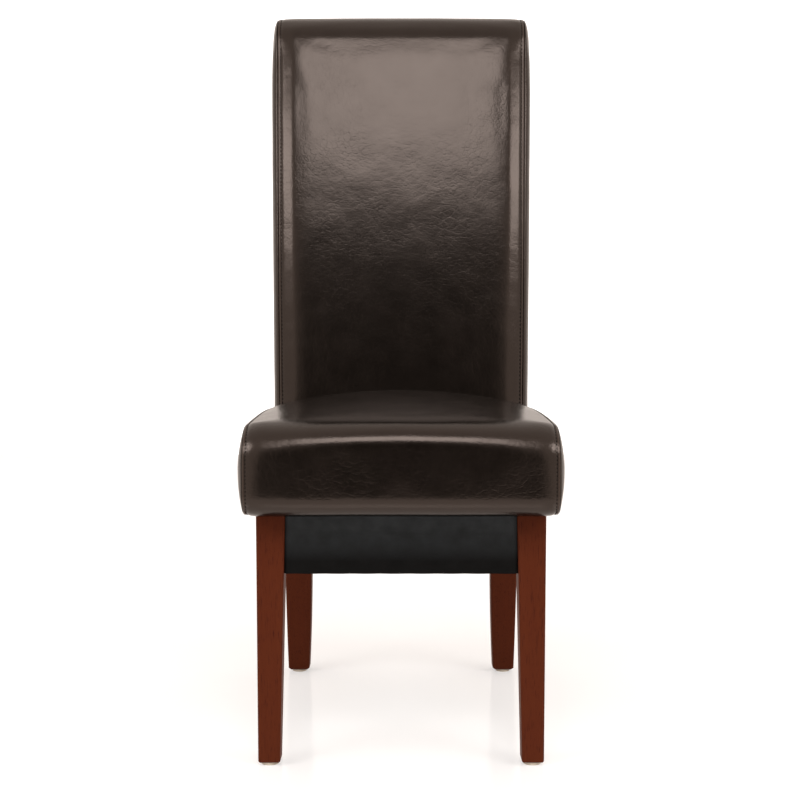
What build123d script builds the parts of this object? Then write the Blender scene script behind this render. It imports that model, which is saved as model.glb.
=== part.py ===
from build123d import *
from math import asin, atan, atan2, cos, radians, sin, sqrt, tan
import os

os.makedirs("parts", exist_ok=True)

# Dining chair with a rolled back, leather over foam on a wooden frame. Millimetres, +Z up, the front towards -Y.
# The origin lies on the floor under the middle of the chair. Left and right are the sitter's, so left is +X.

# Overall sizes
overall_height = 1120.0
overall_depth = 600.0
seat_width = 430.0
back_margin = 2.0
back_reach = 167.0

# Seat cushion
cushion_bottom = 348.0
nose_crest = 470.0
seat_rise = 26.0
seat_peak = 495.0
seat_crown = 24.0
seat_top_inset = 17.0
seat_bottom_inset = 11.0
bulge_height = 49.0
nose_top_radius = 30.0
nose_bottom_radius = 28.0
seat_edge_radius = 9.0
seat_corner_radius = 16.0
seat_corner_relief = 1.0
seat_seam_inset = 14.0

# Back cushion
back_lean = 8.5
bend_height = 480.0
back_thickness = 68.0
scroll_radius = 54.0
neck_inset = 4.0
neck_fillet = 40.0
back_edge_radius = 8.0
back_seam_inset = 9.0

# Covers, padding and cloth
leather = 1.5
soft_gap = 0.3
front_pad = 24.0
wadding = 4.0
board = 3.0
web_thickness = 1.4
web_width = 50.0
cloth = 0.8
cloth_return = 18.0

# Seat box
box_bottom = 264.0
rail_thickness = 22.0
rail_setback = 4.0

# Legs
post_cover = 18.0
leg_front = 58.0
leg_top_size = 39.5
front_foot_size = 30.0
front_foot_inset = 1.0
rear_leg_width = 45.0
post_width = 40.0
rear_foot_width = 36.0
rear_foot_depth = 32.0
rear_foot_setback = 70.0
rear_leg_rake = 8.0
rear_leg_steps = 3
leg_round = 3.0
foot_bevel = 3.5

# Back frame
head_radius = 34.0
back_rail_thickness = 20.0
back_rail_setback = 6.0
back_rail_height = 60.0
lower_rail_rise = 95.0
middle_rail_rise = 400.0
board_margin = 12.0

# Webbing counts
seat_strap_count = 4
back_strap_count = 6

# Fasteners and glides
dowel_diameter = 8.0
dowel_length = 40.0
dowel_clearance = 0.2
dowel_end_gap = 1.0
dowel_spacing = 44.0
back_dowel_spacing = 32.0
block_reach = 45.0
block_height = 50.0
bolt_diameter = 6.0
bolt_grip = 26.0
bolt_head_width = 10.0
bolt_head_height = 4.0
washer_diameter = 18.0
washer_thickness = 1.6
screw_diameter = 4.0
screw_head_diameter = 8.0
screw_head_height = 2.6
screw_bite = 14.0
screw_cover = 8.0
hole_clearance = 0.4
glide_diameter = 24.0
glide_thickness = 4.0
nail_diameter = 3.0
nail_length = 18.0
nail_head_diameter = 8.6
nail_head_height = 1.2

# Heights, widths and depths that follow from the sizes above
nose_y = -overall_depth / 2
seat_depth = overall_depth - back_reach
back_width = seat_width - 2 * back_margin
leg_outer = back_width / 2 - post_cover
side_rail_top = cushion_bottom - 2 * web_thickness
cross_rail_top = cushion_bottom - web_thickness
box_middle = (box_bottom + side_rail_top) / 2
leg_front_y = nose_y + leg_front
leg_rear_y = leg_front_y + leg_top_size
leg_inner = leg_outer - leg_top_size
front_rail_y = leg_front_y + rail_setback
side_rail_outer = leg_outer - rail_setback
side_rail_inner = side_rail_outer - rail_thickness
rear_leg_inner = leg_outer - rear_leg_width
post_inner = leg_outer - post_width
rear_foot_y = overall_depth / 2 - rear_foot_setback
front_foot_x = leg_outer - front_foot_inset - front_foot_size / 2
front_foot_y = leg_front_y + front_foot_inset + front_foot_size / 2
rear_foot_x = leg_outer - rear_foot_width / 2
reach = 2 * (overall_height + overall_depth)

# The front face of the back is straight behind the seat, then an arc that runs into the roll
scroll = Vector(overall_depth / 2 - scroll_radius, overall_height - scroll_radius)
scroll_lean = radians(back_lean)
bend = Vector(nose_y + seat_depth, bend_height)
scroll_start = scroll + Vector(-cos(scroll_lean), sin(scroll_lean)) * scroll_radius
seat_lean = 2 * atan2(scroll_start.X - bend.X, scroll_start.Y - bend.Y) - scroll_lean


def face_y(height, inset=0.0):
    """Depth of the straight lower part of the back's face, moved into the back by inset."""
    return bend.X + (height - bend.Y) * tan(seat_lean) + inset / cos(seat_lean)


# The rear face of the back is straight and meets the roll in a hollow
rear_low = Vector(face_y(cushion_bottom) + back_thickness, cushion_bottom)
rear_high = Vector(scroll.X - neck_inset, scroll.Y - scroll_radius)
rear_up = (rear_high - rear_low).normalized()
rear_out = Vector(rear_up.Y, -rear_up.X)
hollow_from = rear_high + rear_out * neck_fillet - scroll
hollow_along = rear_up.dot(hollow_from)
hollow_drop = hollow_along + sqrt(hollow_along**2 - hollow_from.length**2 + (scroll_radius + neck_fillet) ** 2)
hollow = rear_high + rear_out * neck_fillet - rear_up * hollow_drop
neck_z = hollow.Y


def rear_point(height, inset):
    """Point of the rear face at a height, moved into the back by inset."""
    start = rear_low - rear_out * inset
    return start + rear_up * ((height - start.Y) / rear_up.Y)


# Posts stand behind the front padding; board and wadding lie between them and the rear leather
rear_pad = leather + wadding + board + 2 * soft_gap
post_front_y = face_y(cushion_bottom) + front_pad
post_rear_y = rear_point(cushion_bottom, rear_pad).X
post_foot = Vector(post_front_y, cushion_bottom)
to_scroll = scroll - post_foot
post_lean = atan2(to_scroll.X, to_scroll.Y) - asin(head_radius / to_scroll.length)
post_forward = Vector(-cos(post_lean), sin(post_lean))
rear_rail_y = (post_front_y + post_rear_y - rail_thickness) / 2
post_plane = Plane(
    origin=(0, post_front_y, cushion_bottom), x_dir=(1, 0, 0), z_dir=(0, post_forward.X, post_forward.Y)
)
board_start = rear_point(cushion_bottom, rear_pad)
board_plane = Plane(
    origin=(0, board_start.X, board_start.Y), x_dir=(-1, 0, 0), z_dir=(0, rear_out.X, rear_out.Y)
)


def circle_points(center, radius, start, end):
    """Start, middle and end of a circle's arc between two directions from its centre."""
    return [center + Vector(cos(turn), sin(turn)) * radius for turn in (start, (start + end) / 2, end)]


def back_view(inset, bottom):
    """Side view of the back, moved inwards by inset and cut level at bottom."""
    radius = scroll_radius - inset
    under = hollow - scroll
    low_front = Vector(face_y(bottom, inset), bottom)
    low_bend = bend + Vector(cos(seat_lean), -sin(seat_lean)) * inset
    low_rear = rear_point(bottom, inset)
    roll_from = radians(180) - scroll_lean
    roll_to = atan2(under.Y, under.X)
    hollow_to = atan2(-rear_out.Y, -rear_out.X)
    with BuildSketch(Plane.YZ) as view:
        with BuildLine():
            face = Line(low_front, low_bend)
            roll = ThreePointArc(*circle_points(scroll, radius, roll_from, roll_to))
            TangentArc(face @ 1, roll @ 0, tangent=(sin(seat_lean), cos(seat_lean)))
            dip_points = circle_points(hollow, neck_fillet + inset, roll_to + radians(180), hollow_to)
            dip = ThreePointArc(*dip_points)
            Polyline(dip @ 1, low_rear, face @ 0)
        make_face()
    return view.sketch


def post_view(front_grow, rear_grow, bottom):
    """Side view of a post above the seat box with its round head, grown to the front and to the rear."""
    front = post_foot + post_forward * front_grow
    low = front - Vector(sin(post_lean), cos(post_lean)) * ((front.Y - bottom) / cos(post_lean))
    high = scroll + post_forward * (head_radius + front_grow)
    rear_inset = rear_pad - rear_grow
    with BuildSketch(Plane.YZ) as view:
        with BuildLine():
            Polyline(
                low, high, scroll, rear_point(neck_z, rear_inset), rear_point(bottom, rear_inset), close=True
            )
        make_face()
        with Locations(scroll):
            Circle(head_radius + front_grow)
    return view.sketch


def seat_side_view(inset):
    """Side view of the seat cushion, moved inwards by inset."""
    slope = atan(seat_rise / (seat_depth - nose_top_radius))
    top_center = Vector(nose_y + nose_top_radius, nose_crest - nose_top_radius)
    low_y = nose_y + nose_bottom_radius
    low_z = cushion_bottom + inset
    crest = top_center + Vector(-sin(slope), cos(slope)) * (nose_top_radius - inset)
    back_off = -(soft_gap + inset)
    rear_start = face_y(0, back_off)
    rear_top = crest.Y + (rear_start - crest.X) * tan(slope)
    rear_top = rear_top / (1 - tan(seat_lean) * tan(slope))
    face_low = (nose_y + inset, cushion_bottom + nose_bottom_radius)
    face_high = (nose_y + inset, top_center.Y)
    with BuildSketch(Plane.YZ) as view:
        with BuildLine():
            TangentArc((low_y, low_z), face_low, tangent=(-1, 0))
            Line(face_low, face_high)
            TangentArc(face_high, crest, tangent=(0, 1))
            Polyline(
                crest,
                (face_y(rear_top, back_off), rear_top),
                (face_y(low_z, back_off), low_z),
                (low_y, low_z),
            )
        make_face()
    return view.sketch


def seat_front_view(inset):
    """Front view of the seat cushion with its crowned top and bulging sides, moved inwards by inset."""
    peak = seat_peak - inset
    shoulder = peak - seat_crown
    bottom = cushion_bottom + inset
    half_top = seat_width / 2 - seat_top_inset - inset
    half_bulge = seat_width / 2 - inset
    half_bottom = seat_width / 2 - seat_bottom_inset - inset
    bulge_z = cushion_bottom + bulge_height
    with BuildSketch(Plane.XZ) as view:
        with BuildLine():
            ThreePointArc((-half_top, shoulder), (0, peak), (half_top, shoulder))
            ThreePointArc((half_top, shoulder), (half_bulge, bulge_z), (half_bottom, bottom))
            Line((half_bottom, bottom), (-half_bottom, bottom))
            ThreePointArc((-half_bottom, bottom), (-half_bulge, bulge_z), (-half_top, shoulder))
        make_face()
        fillet(view.vertices(), seat_edge_radius - inset)
    return view.sketch


def seat_plan(inset):
    """Plan of the seat cushion with its rounded front corners, moved inwards by inset."""
    width = seat_width + 2 * (seat_corner_relief - inset)
    with BuildSketch(Plane.XY.offset(cushion_bottom)) as view:
        with Locations((0, nose_y + inset)):
            RectangleRounded(
                width, 2 * overall_depth, seat_corner_radius - inset, align=(Align.CENTER, Align.MIN)
            )
    return view.sketch


def seat_solid(inset):
    """Solid of the seat cushion inside its leather, or of the whole cushion where inset is 0."""
    with BuildPart() as cushion:
        extrude(seat_side_view(inset), amount=seat_width, both=True)
        extrude(seat_front_view(inset), amount=overall_depth, both=True, mode=Mode.INTERSECT)
        extrude(seat_plan(inset), amount=seat_peak, both=True, mode=Mode.INTERSECT)
    return cushion.part


def back_solid(inset, bottom):
    """Solid of the back inside its leather, or of the whole back where inset is 0."""
    with BuildPart() as cushion:
        extrude(back_view(inset, bottom), amount=back_width / 2 - inset, both=True)
        rims = [cushion.faces().sort_by(Axis.X)[-1], cushion.faces().sort_by(Axis.X)[0]]
        rim_edges = [edge for face in rims for edge in face.edges() if edge.center().Z > bottom + leather]
        fillet(rim_edges, back_edge_radius - inset)
    return cushion.part


def span_box(x_from, x_to, y_from, y_to, z_from, z_to, mode=Mode.ADD):
    """Box between two corners, for use inside a part."""
    center = ((x_from + x_to) / 2, (y_from + y_to) / 2, (z_from + z_to) / 2)
    with Locations(center):
        Box(abs(x_to - x_from), abs(y_to - y_from), abs(z_to - z_from), mode=mode)


def keep(part, name):
    """Label a finished piece and write it."""
    part.label = name
    export_step(part, f"parts/{name}.step")


def keep_pair(part, name):
    """Write a piece of the left side, and its mirror image as the piece of the right side."""
    keep(part, f"{name}_left")
    with BuildPart() as other:
        mirror(part, about=Plane.YZ)
    keep(other.part, f"{name}_right")


sides = {"left": 1, "right": -1}

# Dowels: each plane lies on a joint face, with its normal along the dowel
seat_dowels = []
for side in sides.values():
    for rise in (-dowel_spacing / 2, dowel_spacing / 2):
        height = box_middle + rise
        rail_x = side * (side_rail_inner + rail_thickness / 2)
        front_y = front_rail_y + rail_thickness / 2
        rear_y = rear_rail_y + rail_thickness / 2
        seat_dowels.append(Plane(origin=(side * leg_inner, front_y, height), z_dir=(side, 0, 0)))
        seat_dowels.append(Plane(origin=(side * rear_leg_inner, rear_y, height), z_dir=(side, 0, 0)))
        seat_dowels.append(Plane(origin=(rail_x, leg_rear_y, height), z_dir=(0, -1, 0)))
        seat_dowels.append(Plane(origin=(rail_x, post_front_y, height), z_dir=(0, 1, 0)))

back_dowels = []
rail_mid_depth = back_rail_setback + back_rail_thickness / 2
for side in sides.values():
    for rise in (-back_dowel_spacing / 2, back_dowel_spacing / 2):
        for height in (lower_rail_rise, middle_rail_rise):
            spot = post_plane.from_local_coords((side * post_inner, height + rise, -rail_mid_depth))
            back_dowels.append(Plane(origin=spot, z_dir=(side, 0, 0)))
        roll_spot = (side * post_inner, scroll.X, scroll.Y + rise)
        back_dowels.append(Plane(origin=roll_spot, z_dir=(side, 0, 0)))


def bore_dowels(planes):
    """Cut the dowel holes into the current part."""
    with Locations(*planes):
        Cylinder(
            (dowel_diameter + dowel_clearance) / 2,
            dowel_length + 2 * dowel_end_gap,
            mode=Mode.SUBTRACT,
        )


# Corner blocks: a triangle in each corner of the seat box, notched around the leg
corners = {}
for name, side in sides.items():
    corners[f"front_{name}"] = {
        "side": side,
        "into": -1,
        "rail_y": front_rail_y + rail_thickness,
        "leg_x": leg_inner,
        "leg_y": leg_rear_y,
    }
    corners[f"rear_{name}"] = {
        "side": side,
        "into": 1,
        "rail_y": rear_rail_y,
        "leg_x": rear_leg_inner,
        "leg_y": post_front_y,
    }
for corner in corners.values():
    notch = max(side_rail_inner - corner["leg_x"], abs(corner["leg_y"] - corner["rail_y"]))
    corner["length"] = notch + block_reach
    middle = side_rail_inner - corner["length"] / 2
    face = (corner["side"] * middle, corner["rail_y"] - corner["into"] * corner["length"] / 2, box_middle)
    corner["bolt"] = Plane(origin=face, z_dir=(corner["side"], corner["into"], 0))
    # Screw planes lie on the rails, with the normal into the rail
    back_from_end = corner["length"] - screw_cover - screw_head_diameter
    side_spot = (corner["side"] * side_rail_inner, corner["rail_y"] - corner["into"] * back_from_end, box_middle)
    cross_spot = (corner["side"] * (side_rail_inner - back_from_end), corner["rail_y"], box_middle)
    corner["screws"] = [
        Plane(origin=side_spot, z_dir=(corner["side"], 0, 0)),
        Plane(origin=cross_spot, z_dir=(0, corner["into"], 0)),
    ]
bolt_planes = [corner["bolt"] for corner in corners.values()]
screw_planes = [plane for corner in corners.values() for plane in corner["screws"]]
bolt_reach = max((corner["length"] for corner in corners.values())) / sqrt(2) / 2 + bolt_grip
screw_seat = screw_cover / 2


def bore_bolts(clearance):
    """Cut the leg bolt holes into the current part."""
    with Locations(*bolt_planes):
        Cylinder(
            (bolt_diameter + clearance) / 2,
            bolt_reach + dowel_end_gap,
            align=(Align.CENTER, Align.CENTER, Align.MIN),
            mode=Mode.SUBTRACT,
        )


def bore_screws():
    """Cut the screw holes and the seats of their heads into the current part."""
    with Locations(*screw_planes):
        Cylinder(
            (screw_diameter + hole_clearance) / 2,
            2 * (screw_bite + dowel_end_gap),
            mode=Mode.SUBTRACT,
        )
    with Locations(*[plane.offset(-screw_seat) for plane in screw_planes]):
        Cylinder(
            (screw_head_diameter + hole_clearance) / 2,
            block_reach,
            align=(Align.CENTER, Align.CENTER, Align.MAX),
            mode=Mode.SUBTRACT,
        )


feet = [(side * front_foot_x, front_foot_y) for side in sides.values()]
feet += [(side * rear_foot_x, rear_foot_y) for side in sides.values()]


def bore_nails():
    """Cut the nail holes of the glides into the current part."""
    with Locations(*[(x, y, glide_thickness) for x, y in feet]):
        Cylinder(
            (nail_diameter + dowel_clearance) / 2,
            nail_length + dowel_end_gap,
            align=(Align.CENTER, Align.CENTER, Align.MIN),
            mode=Mode.SUBTRACT,
        )


# Front legs: square, tapering to the foot on the two inner faces
with BuildPart() as front_leg:
    outer_foot = leg_outer - front_foot_inset
    foot_front = leg_front_y + front_foot_inset
    with BuildSketch(Plane.XZ):
        with BuildLine():
            Polyline(
                (outer_foot, glide_thickness),
                (leg_outer, cushion_bottom),
                (leg_inner, cushion_bottom),
                (outer_foot - front_foot_size, glide_thickness),
                close=True,
            )
        make_face()
    extrude(amount=overall_depth, both=True)
    with BuildSketch(Plane.YZ):
        with BuildLine():
            Polyline(
                (foot_front, glide_thickness),
                (leg_front_y, cushion_bottom),
                (leg_rear_y, cushion_bottom),
                (foot_front + front_foot_size, glide_thickness),
                close=True,
            )
        make_face()
    extrude(amount=seat_width, both=True, mode=Mode.INTERSECT)
    upright = [edge for edge in front_leg.edges() if edge.bounding_box().size.Z > box_bottom / 2]
    fillet(upright, leg_round)
    fillet(front_leg.faces().sort_by(Axis.Z)[0].edges(), leg_round)
    bore_dowels(seat_dowels)
    bore_bolts(dowel_clearance)
    bore_nails()
keep_pair(front_leg.part, "front_leg")

# Rear legs: a raked, curved leg below the seat box and a leaning post with a round head above it
with BuildPart() as rear_leg:
    extrude(post_view(0, 0, cushion_bottom), amount=leg_outer)
    span_box(0, post_inner, -overall_depth, overall_depth, 0, overall_height, mode=Mode.SUBTRACT)
    post_depth = post_rear_y - post_front_y
    post_middle_y = (post_front_y + post_rear_y) / 2
    with BuildSketch(Plane.XY.offset(box_bottom)):
        with Locations((leg_outer - rear_leg_width / 2, post_middle_y)):
            RectangleRounded(rear_leg_width, post_depth, leg_round)
    extrude(amount=cushion_bottom - box_bottom)
    leg_height = box_bottom - glide_thickness - foot_bevel
    rake_run = leg_height * tan(radians(rear_leg_rake))
    for step in range(rear_leg_steps + 1):
        share = step / rear_leg_steps
        width = rear_leg_width + (rear_foot_width - rear_leg_width) * share**2
        depth = post_depth + (rear_foot_depth - post_depth) * share
        run = rake_run * share + (rear_foot_y - post_middle_y - rake_run) * share**2
        with BuildSketch(Plane.XY.offset(box_bottom - leg_height * share)):
            with Locations((leg_outer - width / 2, post_middle_y + run)):
                RectangleRounded(width, depth, leg_round)
    loft()
    for bevel in (0, foot_bevel):
        with BuildSketch(Plane.XY.offset(glide_thickness + foot_bevel - bevel)):
            with Locations((rear_foot_x, rear_foot_y)):
                RectangleRounded(rear_foot_width - 2 * bevel, rear_foot_depth - 2 * bevel, leg_round)
    loft()
    bore_dowels(seat_dowels + back_dowels)
    bore_bolts(dowel_clearance)
    bore_nails()
keep_pair(rear_leg.part, "rear_leg")

# Rails of the seat box
with BuildPart() as front_rail:
    span_box(-leg_inner, leg_inner, front_rail_y, front_rail_y + rail_thickness, box_bottom, cross_rail_top)
    bore_dowels(seat_dowels)
    bore_screws()
keep(front_rail.part, "front_rail")

with BuildPart() as rear_rail:
    span_box(
        -rear_leg_inner, rear_leg_inner, rear_rail_y, rear_rail_y + rail_thickness, box_bottom, cross_rail_top
    )
    bore_dowels(seat_dowels)
    bore_screws()
keep(rear_rail.part, "rear_rail")

with BuildPart() as side_rail:
    span_box(side_rail_inner, side_rail_outer, leg_rear_y, post_front_y, box_bottom, side_rail_top)
    bore_dowels(seat_dowels)
    bore_screws()
keep_pair(side_rail.part, "side_rail")

# Corner blocks
for name in ("front", "rear"):
    corner = corners[f"{name}_left"]
    with BuildPart() as block:
        with BuildSketch(Plane.XY.offset(box_middle - block_height / 2)):
            with BuildLine():
                Polyline(
                    (side_rail_inner, corner["leg_y"]),
                    (side_rail_inner, corner["rail_y"] - corner["into"] * corner["length"]),
                    (side_rail_inner - corner["length"], corner["rail_y"]),
                    (corner["leg_x"], corner["rail_y"]),
                    (corner["leg_x"], corner["leg_y"]),
                    close=True,
                )
            make_face()
        extrude(amount=block_height)
        bore_bolts(hole_clearance)
        bore_screws()
    keep_pair(block.part, f"corner_block_{name}")

with BuildPart() as leg_bolts:
    with Locations(*[plane.offset(-washer_thickness) for plane in bolt_planes]):
        Cylinder(bolt_diameter / 2, bolt_reach + washer_thickness, align=(Align.CENTER, Align.CENTER, Align.MIN))
    for plane in bolt_planes:
        with BuildSketch(plane.offset(-washer_thickness)):
            RegularPolygon(bolt_head_width / 2, 6, major_radius=False)
        extrude(amount=-bolt_head_height)
keep(leg_bolts.part, "leg_bolts")

with BuildPart() as bolt_washers:
    for plane in bolt_planes:
        with BuildSketch(plane):
            Circle(washer_diameter / 2)
            Circle((bolt_diameter + hole_clearance) / 2, mode=Mode.SUBTRACT)
        extrude(amount=-washer_thickness)
keep(bolt_washers.part, "bolt_washers")

with BuildPart() as block_screws:
    shank = screw_seat + screw_bite
    with Locations(*[plane.offset(-screw_seat) for plane in screw_planes]):
        Cylinder(screw_diameter / 2, shank, align=(Align.CENTER, Align.CENTER, Align.MIN))
        Cylinder(screw_head_diameter / 2, screw_head_height, align=(Align.CENTER, Align.CENTER, Align.MAX))
keep(block_screws.part, "block_screws")

with BuildPart() as seat_frame_dowels:
    with Locations(*seat_dowels):
        Cylinder(dowel_diameter / 2, dowel_length)
keep(seat_frame_dowels.part, "seat_frame_dowels")

with BuildPart() as back_frame_dowels:
    with Locations(*back_dowels):
        Cylinder(dowel_diameter / 2, dowel_length)
keep(back_frame_dowels.part, "back_frame_dowels")

# Rails of the back
for name, rise in {"lower": lower_rail_rise, "middle": middle_rail_rise}.items():
    with BuildPart() as back_rail:
        with BuildSketch(post_plane.offset(-back_rail_setback)):
            with Locations((0, rise)):
                Rectangle(2 * post_inner, back_rail_height)
        extrude(amount=-back_rail_thickness)
        bore_dowels(back_dowels)
    keep(back_rail.part, f"back_{name}_rail")

with BuildPart() as roll_rail:
    with BuildSketch(Plane.YZ):
        with Locations(scroll):
            Circle(head_radius)
    extrude(amount=post_inner, both=True)
    bore_dowels(back_dowels)
keep(roll_rail.part, "roll_rail")

# Webbing: straps across the seat, straps from front to rear above them, straps across the back
with BuildPart() as seat_webbing_across:
    span = (post_front_y - leg_rear_y) / seat_strap_count
    for step in range(seat_strap_count):
        middle = leg_rear_y + span * (step + 0.5)
        span_box(
            -side_rail_outer,
            side_rail_outer,
            middle - web_width / 2,
            middle + web_width / 2,
            side_rail_top,
            cross_rail_top,
        )
keep(seat_webbing_across.part, "seat_webbing_across")

with BuildPart() as seat_webbing_lengthwise:
    span = 2 * rear_leg_inner / seat_strap_count
    for step in range(seat_strap_count):
        middle = -rear_leg_inner + span * (step + 0.5)
        span_box(
            middle - web_width / 2,
            middle + web_width / 2,
            front_rail_y,
            rear_rail_y + rail_thickness,
            cross_rail_top,
            cushion_bottom,
        )
keep(seat_webbing_lengthwise.part, "seat_webbing_lengthwise")

post_length = sqrt(to_scroll.length**2 - head_radius**2)
strap_start = lower_rail_rise + back_rail_height
strap_step = (post_length - strap_start) / back_strap_count
with BuildPart() as back_webbing:
    with BuildSketch(post_plane):
        for step in range(back_strap_count):
            with Locations((0, strap_start + strap_step * (step + 0.5))):
                Rectangle(2 * leg_outer, web_width)
    extrude(amount=web_thickness)
keep(back_webbing.part, "back_webbing")

# Board and wadding behind the back, between the posts and the rear leather
board_length = (neck_z - cushion_bottom) / rear_up.Y - board_margin
with BuildPart() as rear_board:
    with BuildSketch(board_plane):
        with Locations((0, board_length / 2)):
            Rectangle(2 * leg_outer, board_length)
    extrude(amount=board)
keep(rear_board.part, "rear_board")

back_inside = back_solid(leather, cushion_bottom - leather)
back_room = back_solid(leather + soft_gap, cushion_bottom)
wadding_plane = board_plane.offset(board + soft_gap)

with BuildPart() as rear_wadding:
    add(back_room)
    with BuildSketch(wadding_plane):
        with Locations((0, board_length / 2)):
            Rectangle(back_width, board_length)
    extrude(amount=back_thickness, mode=Mode.INTERSECT)
keep(rear_wadding.part, "rear_wadding")

with BuildPart() as back_foam:
    add(back_room)
    frame_room = post_view(web_thickness + soft_gap, board + soft_gap, cushion_bottom - leather)
    extrude(frame_room, amount=leg_outer + soft_gap, both=True, mode=Mode.SUBTRACT)
    with BuildSketch(board_plane.offset(board)):
        with Locations((0, board_length / 2)):
            Rectangle(back_width, board_length + 2 * soft_gap)
    extrude(amount=back_thickness, mode=Mode.SUBTRACT)
keep(back_foam.part, "back_foam")

# Leather of the back: one panel over the face and the roll, one behind, one on each side
back_seam = back_width / 2 - back_seam_inset
with BuildPart() as back_shell:
    add(back_solid(0, cushion_bottom))
    add(back_inside, mode=Mode.SUBTRACT)

with BuildPart() as back_cover_front:
    add(back_shell.part)
    span_box(-back_seam, back_seam, -reach, reach, -reach, reach, mode=Mode.INTERSECT)
    with BuildSketch(board_plane):
        with Locations((0, board_length / 2)):
            Rectangle(back_width, board_length + 2 * soft_gap)
    extrude(amount=back_thickness, mode=Mode.SUBTRACT)
keep(back_cover_front.part, "back_cover_front")

with BuildPart() as back_cover_rear:
    add(back_shell.part)
    span_box(-back_seam, back_seam, -reach, reach, -reach, reach, mode=Mode.INTERSECT)
    with BuildSketch(board_plane):
        with Locations((0, board_length / 2)):
            Rectangle(back_width, board_length)
    extrude(amount=back_thickness, mode=Mode.INTERSECT)
keep(back_cover_rear.part, "back_cover_rear")

with BuildPart() as back_cover_side:
    add(back_shell.part)
    span_box(back_seam, back_width, -reach, reach, -reach, reach, mode=Mode.INTERSECT)
keep_pair(back_cover_side.part, "back_cover")

# Seat foam rests on the webbing and fills the leather
with BuildPart() as seat_foam:
    add(seat_solid(leather + soft_gap))
    span_box(
        -side_rail_outer,
        side_rail_outer,
        leg_rear_y,
        face_y(cushion_bottom, -soft_gap - leather),
        cushion_bottom,
        cushion_bottom + 2 * leather,
    )
keep(seat_foam.part, "seat_foam")

# Leather of the seat: one panel over top and nose, one on each side, turned in under the edge up to the seat box
seat_seam = seat_width / 2 - seat_seam_inset
with BuildPart() as seat_shell:
    add(seat_solid(0))
    add(seat_solid(leather), mode=Mode.SUBTRACT)
    box_edge = side_rail_outer + cloth + soft_gap
    span_box(
        -box_edge,
        box_edge,
        front_rail_y - cloth - soft_gap,
        overall_depth / 2,
        cushion_bottom - leather,
        cushion_bottom + 2 * leather,
        mode=Mode.SUBTRACT,
    )
    for side in sides.values():
        span_box(
            side * (leg_inner - soft_gap),
            side * (leg_outer + soft_gap),
            leg_front_y - soft_gap,
            leg_rear_y + soft_gap,
            cushion_bottom - leather,
            cushion_bottom + 2 * leather,
            mode=Mode.SUBTRACT,
        )

with BuildPart() as seat_cover_top:
    add(seat_shell.part)
    span_box(-seat_seam, seat_seam, -reach, reach, -reach, reach, mode=Mode.INTERSECT)
keep(seat_cover_top.part, "seat_cover_top")

with BuildPart() as seat_cover_side:
    add(seat_shell.part)
    span_box(seat_seam, seat_width, -reach, reach, -reach, reach, mode=Mode.INTERSECT)
keep_pair(seat_cover_side.part, "seat_cover")

# Black cloth on the seat box: each piece covers a rail and turns in under it
front_cloth_half = leg_inner - soft_gap
with BuildPart() as front_cloth:
    low = box_bottom - cloth
    span_box(-front_cloth_half, front_cloth_half, front_rail_y - cloth, front_rail_y, low, cross_rail_top)
    span_box(-front_cloth_half, front_cloth_half, front_rail_y - cloth, front_rail_y + cloth_return, low, box_bottom)
keep(front_cloth.part, "front_cloth")

rear_cloth_half = rear_leg_inner - soft_gap
with BuildPart() as rear_cloth:
    rail_rear = rear_rail_y + rail_thickness
    low = box_bottom - cloth
    span_box(-rear_cloth_half, rear_cloth_half, rail_rear, rail_rear + cloth, low, cross_rail_top)
    span_box(-rear_cloth_half, rear_cloth_half, rail_rear - cloth_return, rail_rear + cloth, low, box_bottom)
keep(rear_cloth.part, "rear_cloth")

with BuildPart() as side_cloth:
    outer = side_rail_outer + cloth
    start = leg_rear_y + soft_gap
    end = post_front_y - soft_gap
    low = box_bottom - cloth
    span_box(side_rail_outer, outer, start, end, low, side_rail_top)
    span_box(side_rail_outer - cloth_return, outer, start, end, low, box_bottom)
keep_pair(side_cloth.part, "side_cloth")

with BuildPart() as dust_cover:
    low = box_bottom - 2 * cloth
    high = box_bottom - cloth
    span_box(-side_rail_outer, side_rail_outer, front_rail_y, rear_rail_y + rail_thickness, low, high)
    for corner in corners.values():
        edge_x = corner["side"] * (corner["leg_x"] - soft_gap)
        edge_y = corner["leg_y"] - corner["into"] * soft_gap
        end_y = corner["into"] * overall_depth
        span_box(edge_x, corner["side"] * seat_width, edge_y, end_y, low - cloth, high + cloth, mode=Mode.SUBTRACT)
keep(dust_cover.part, "dust_cover")

# Glides: a disc under each foot, held by a nail whose head lies in its upper face
with BuildPart() as foot_glides:
    for x, y in feet:
        with BuildSketch(Plane.XY):
            with Locations((x, y)):
                Circle(glide_diameter / 2)
        extrude(amount=glide_thickness)
        with BuildSketch(Plane.XY.offset(glide_thickness)):
            with Locations((x, y)):
                Circle((nail_head_diameter + hole_clearance) / 2)
        extrude(amount=-nail_head_height, mode=Mode.SUBTRACT)
keep(foot_glides.part, "foot_glides")

with BuildPart() as glide_nails:
    with Locations(*[(x, y, glide_thickness - nail_head_height) for x, y in feet]):
        Cylinder(nail_head_diameter / 2, nail_head_height, align=(Align.CENTER, Align.CENTER, Align.MIN))
        Cylinder(
            nail_diameter / 2,
            nail_head_height + nail_length,
            align=(Align.CENTER, Align.CENTER, Align.MIN),
        )
keep(glide_nails.part, "glide_nails")
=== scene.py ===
# %% [markdown]
# # A leather dining chair with a rolled back
# A frame drawn in CAD gives every piece of this chair its place and its size. Blender adds what the CAD
# leaves out: leather that swells over foam, seams with their stitches, wood grain, stretched cloth and
# studio light. Lengths are written in millimetres until a mesh is made, because a maker measures that
# way. Blender works in metres.

# %% Load the frame
import math

import bmesh
import bpy
import numpy as np
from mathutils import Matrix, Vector, noise
from mathutils.bvhtree import BVHTree


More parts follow.
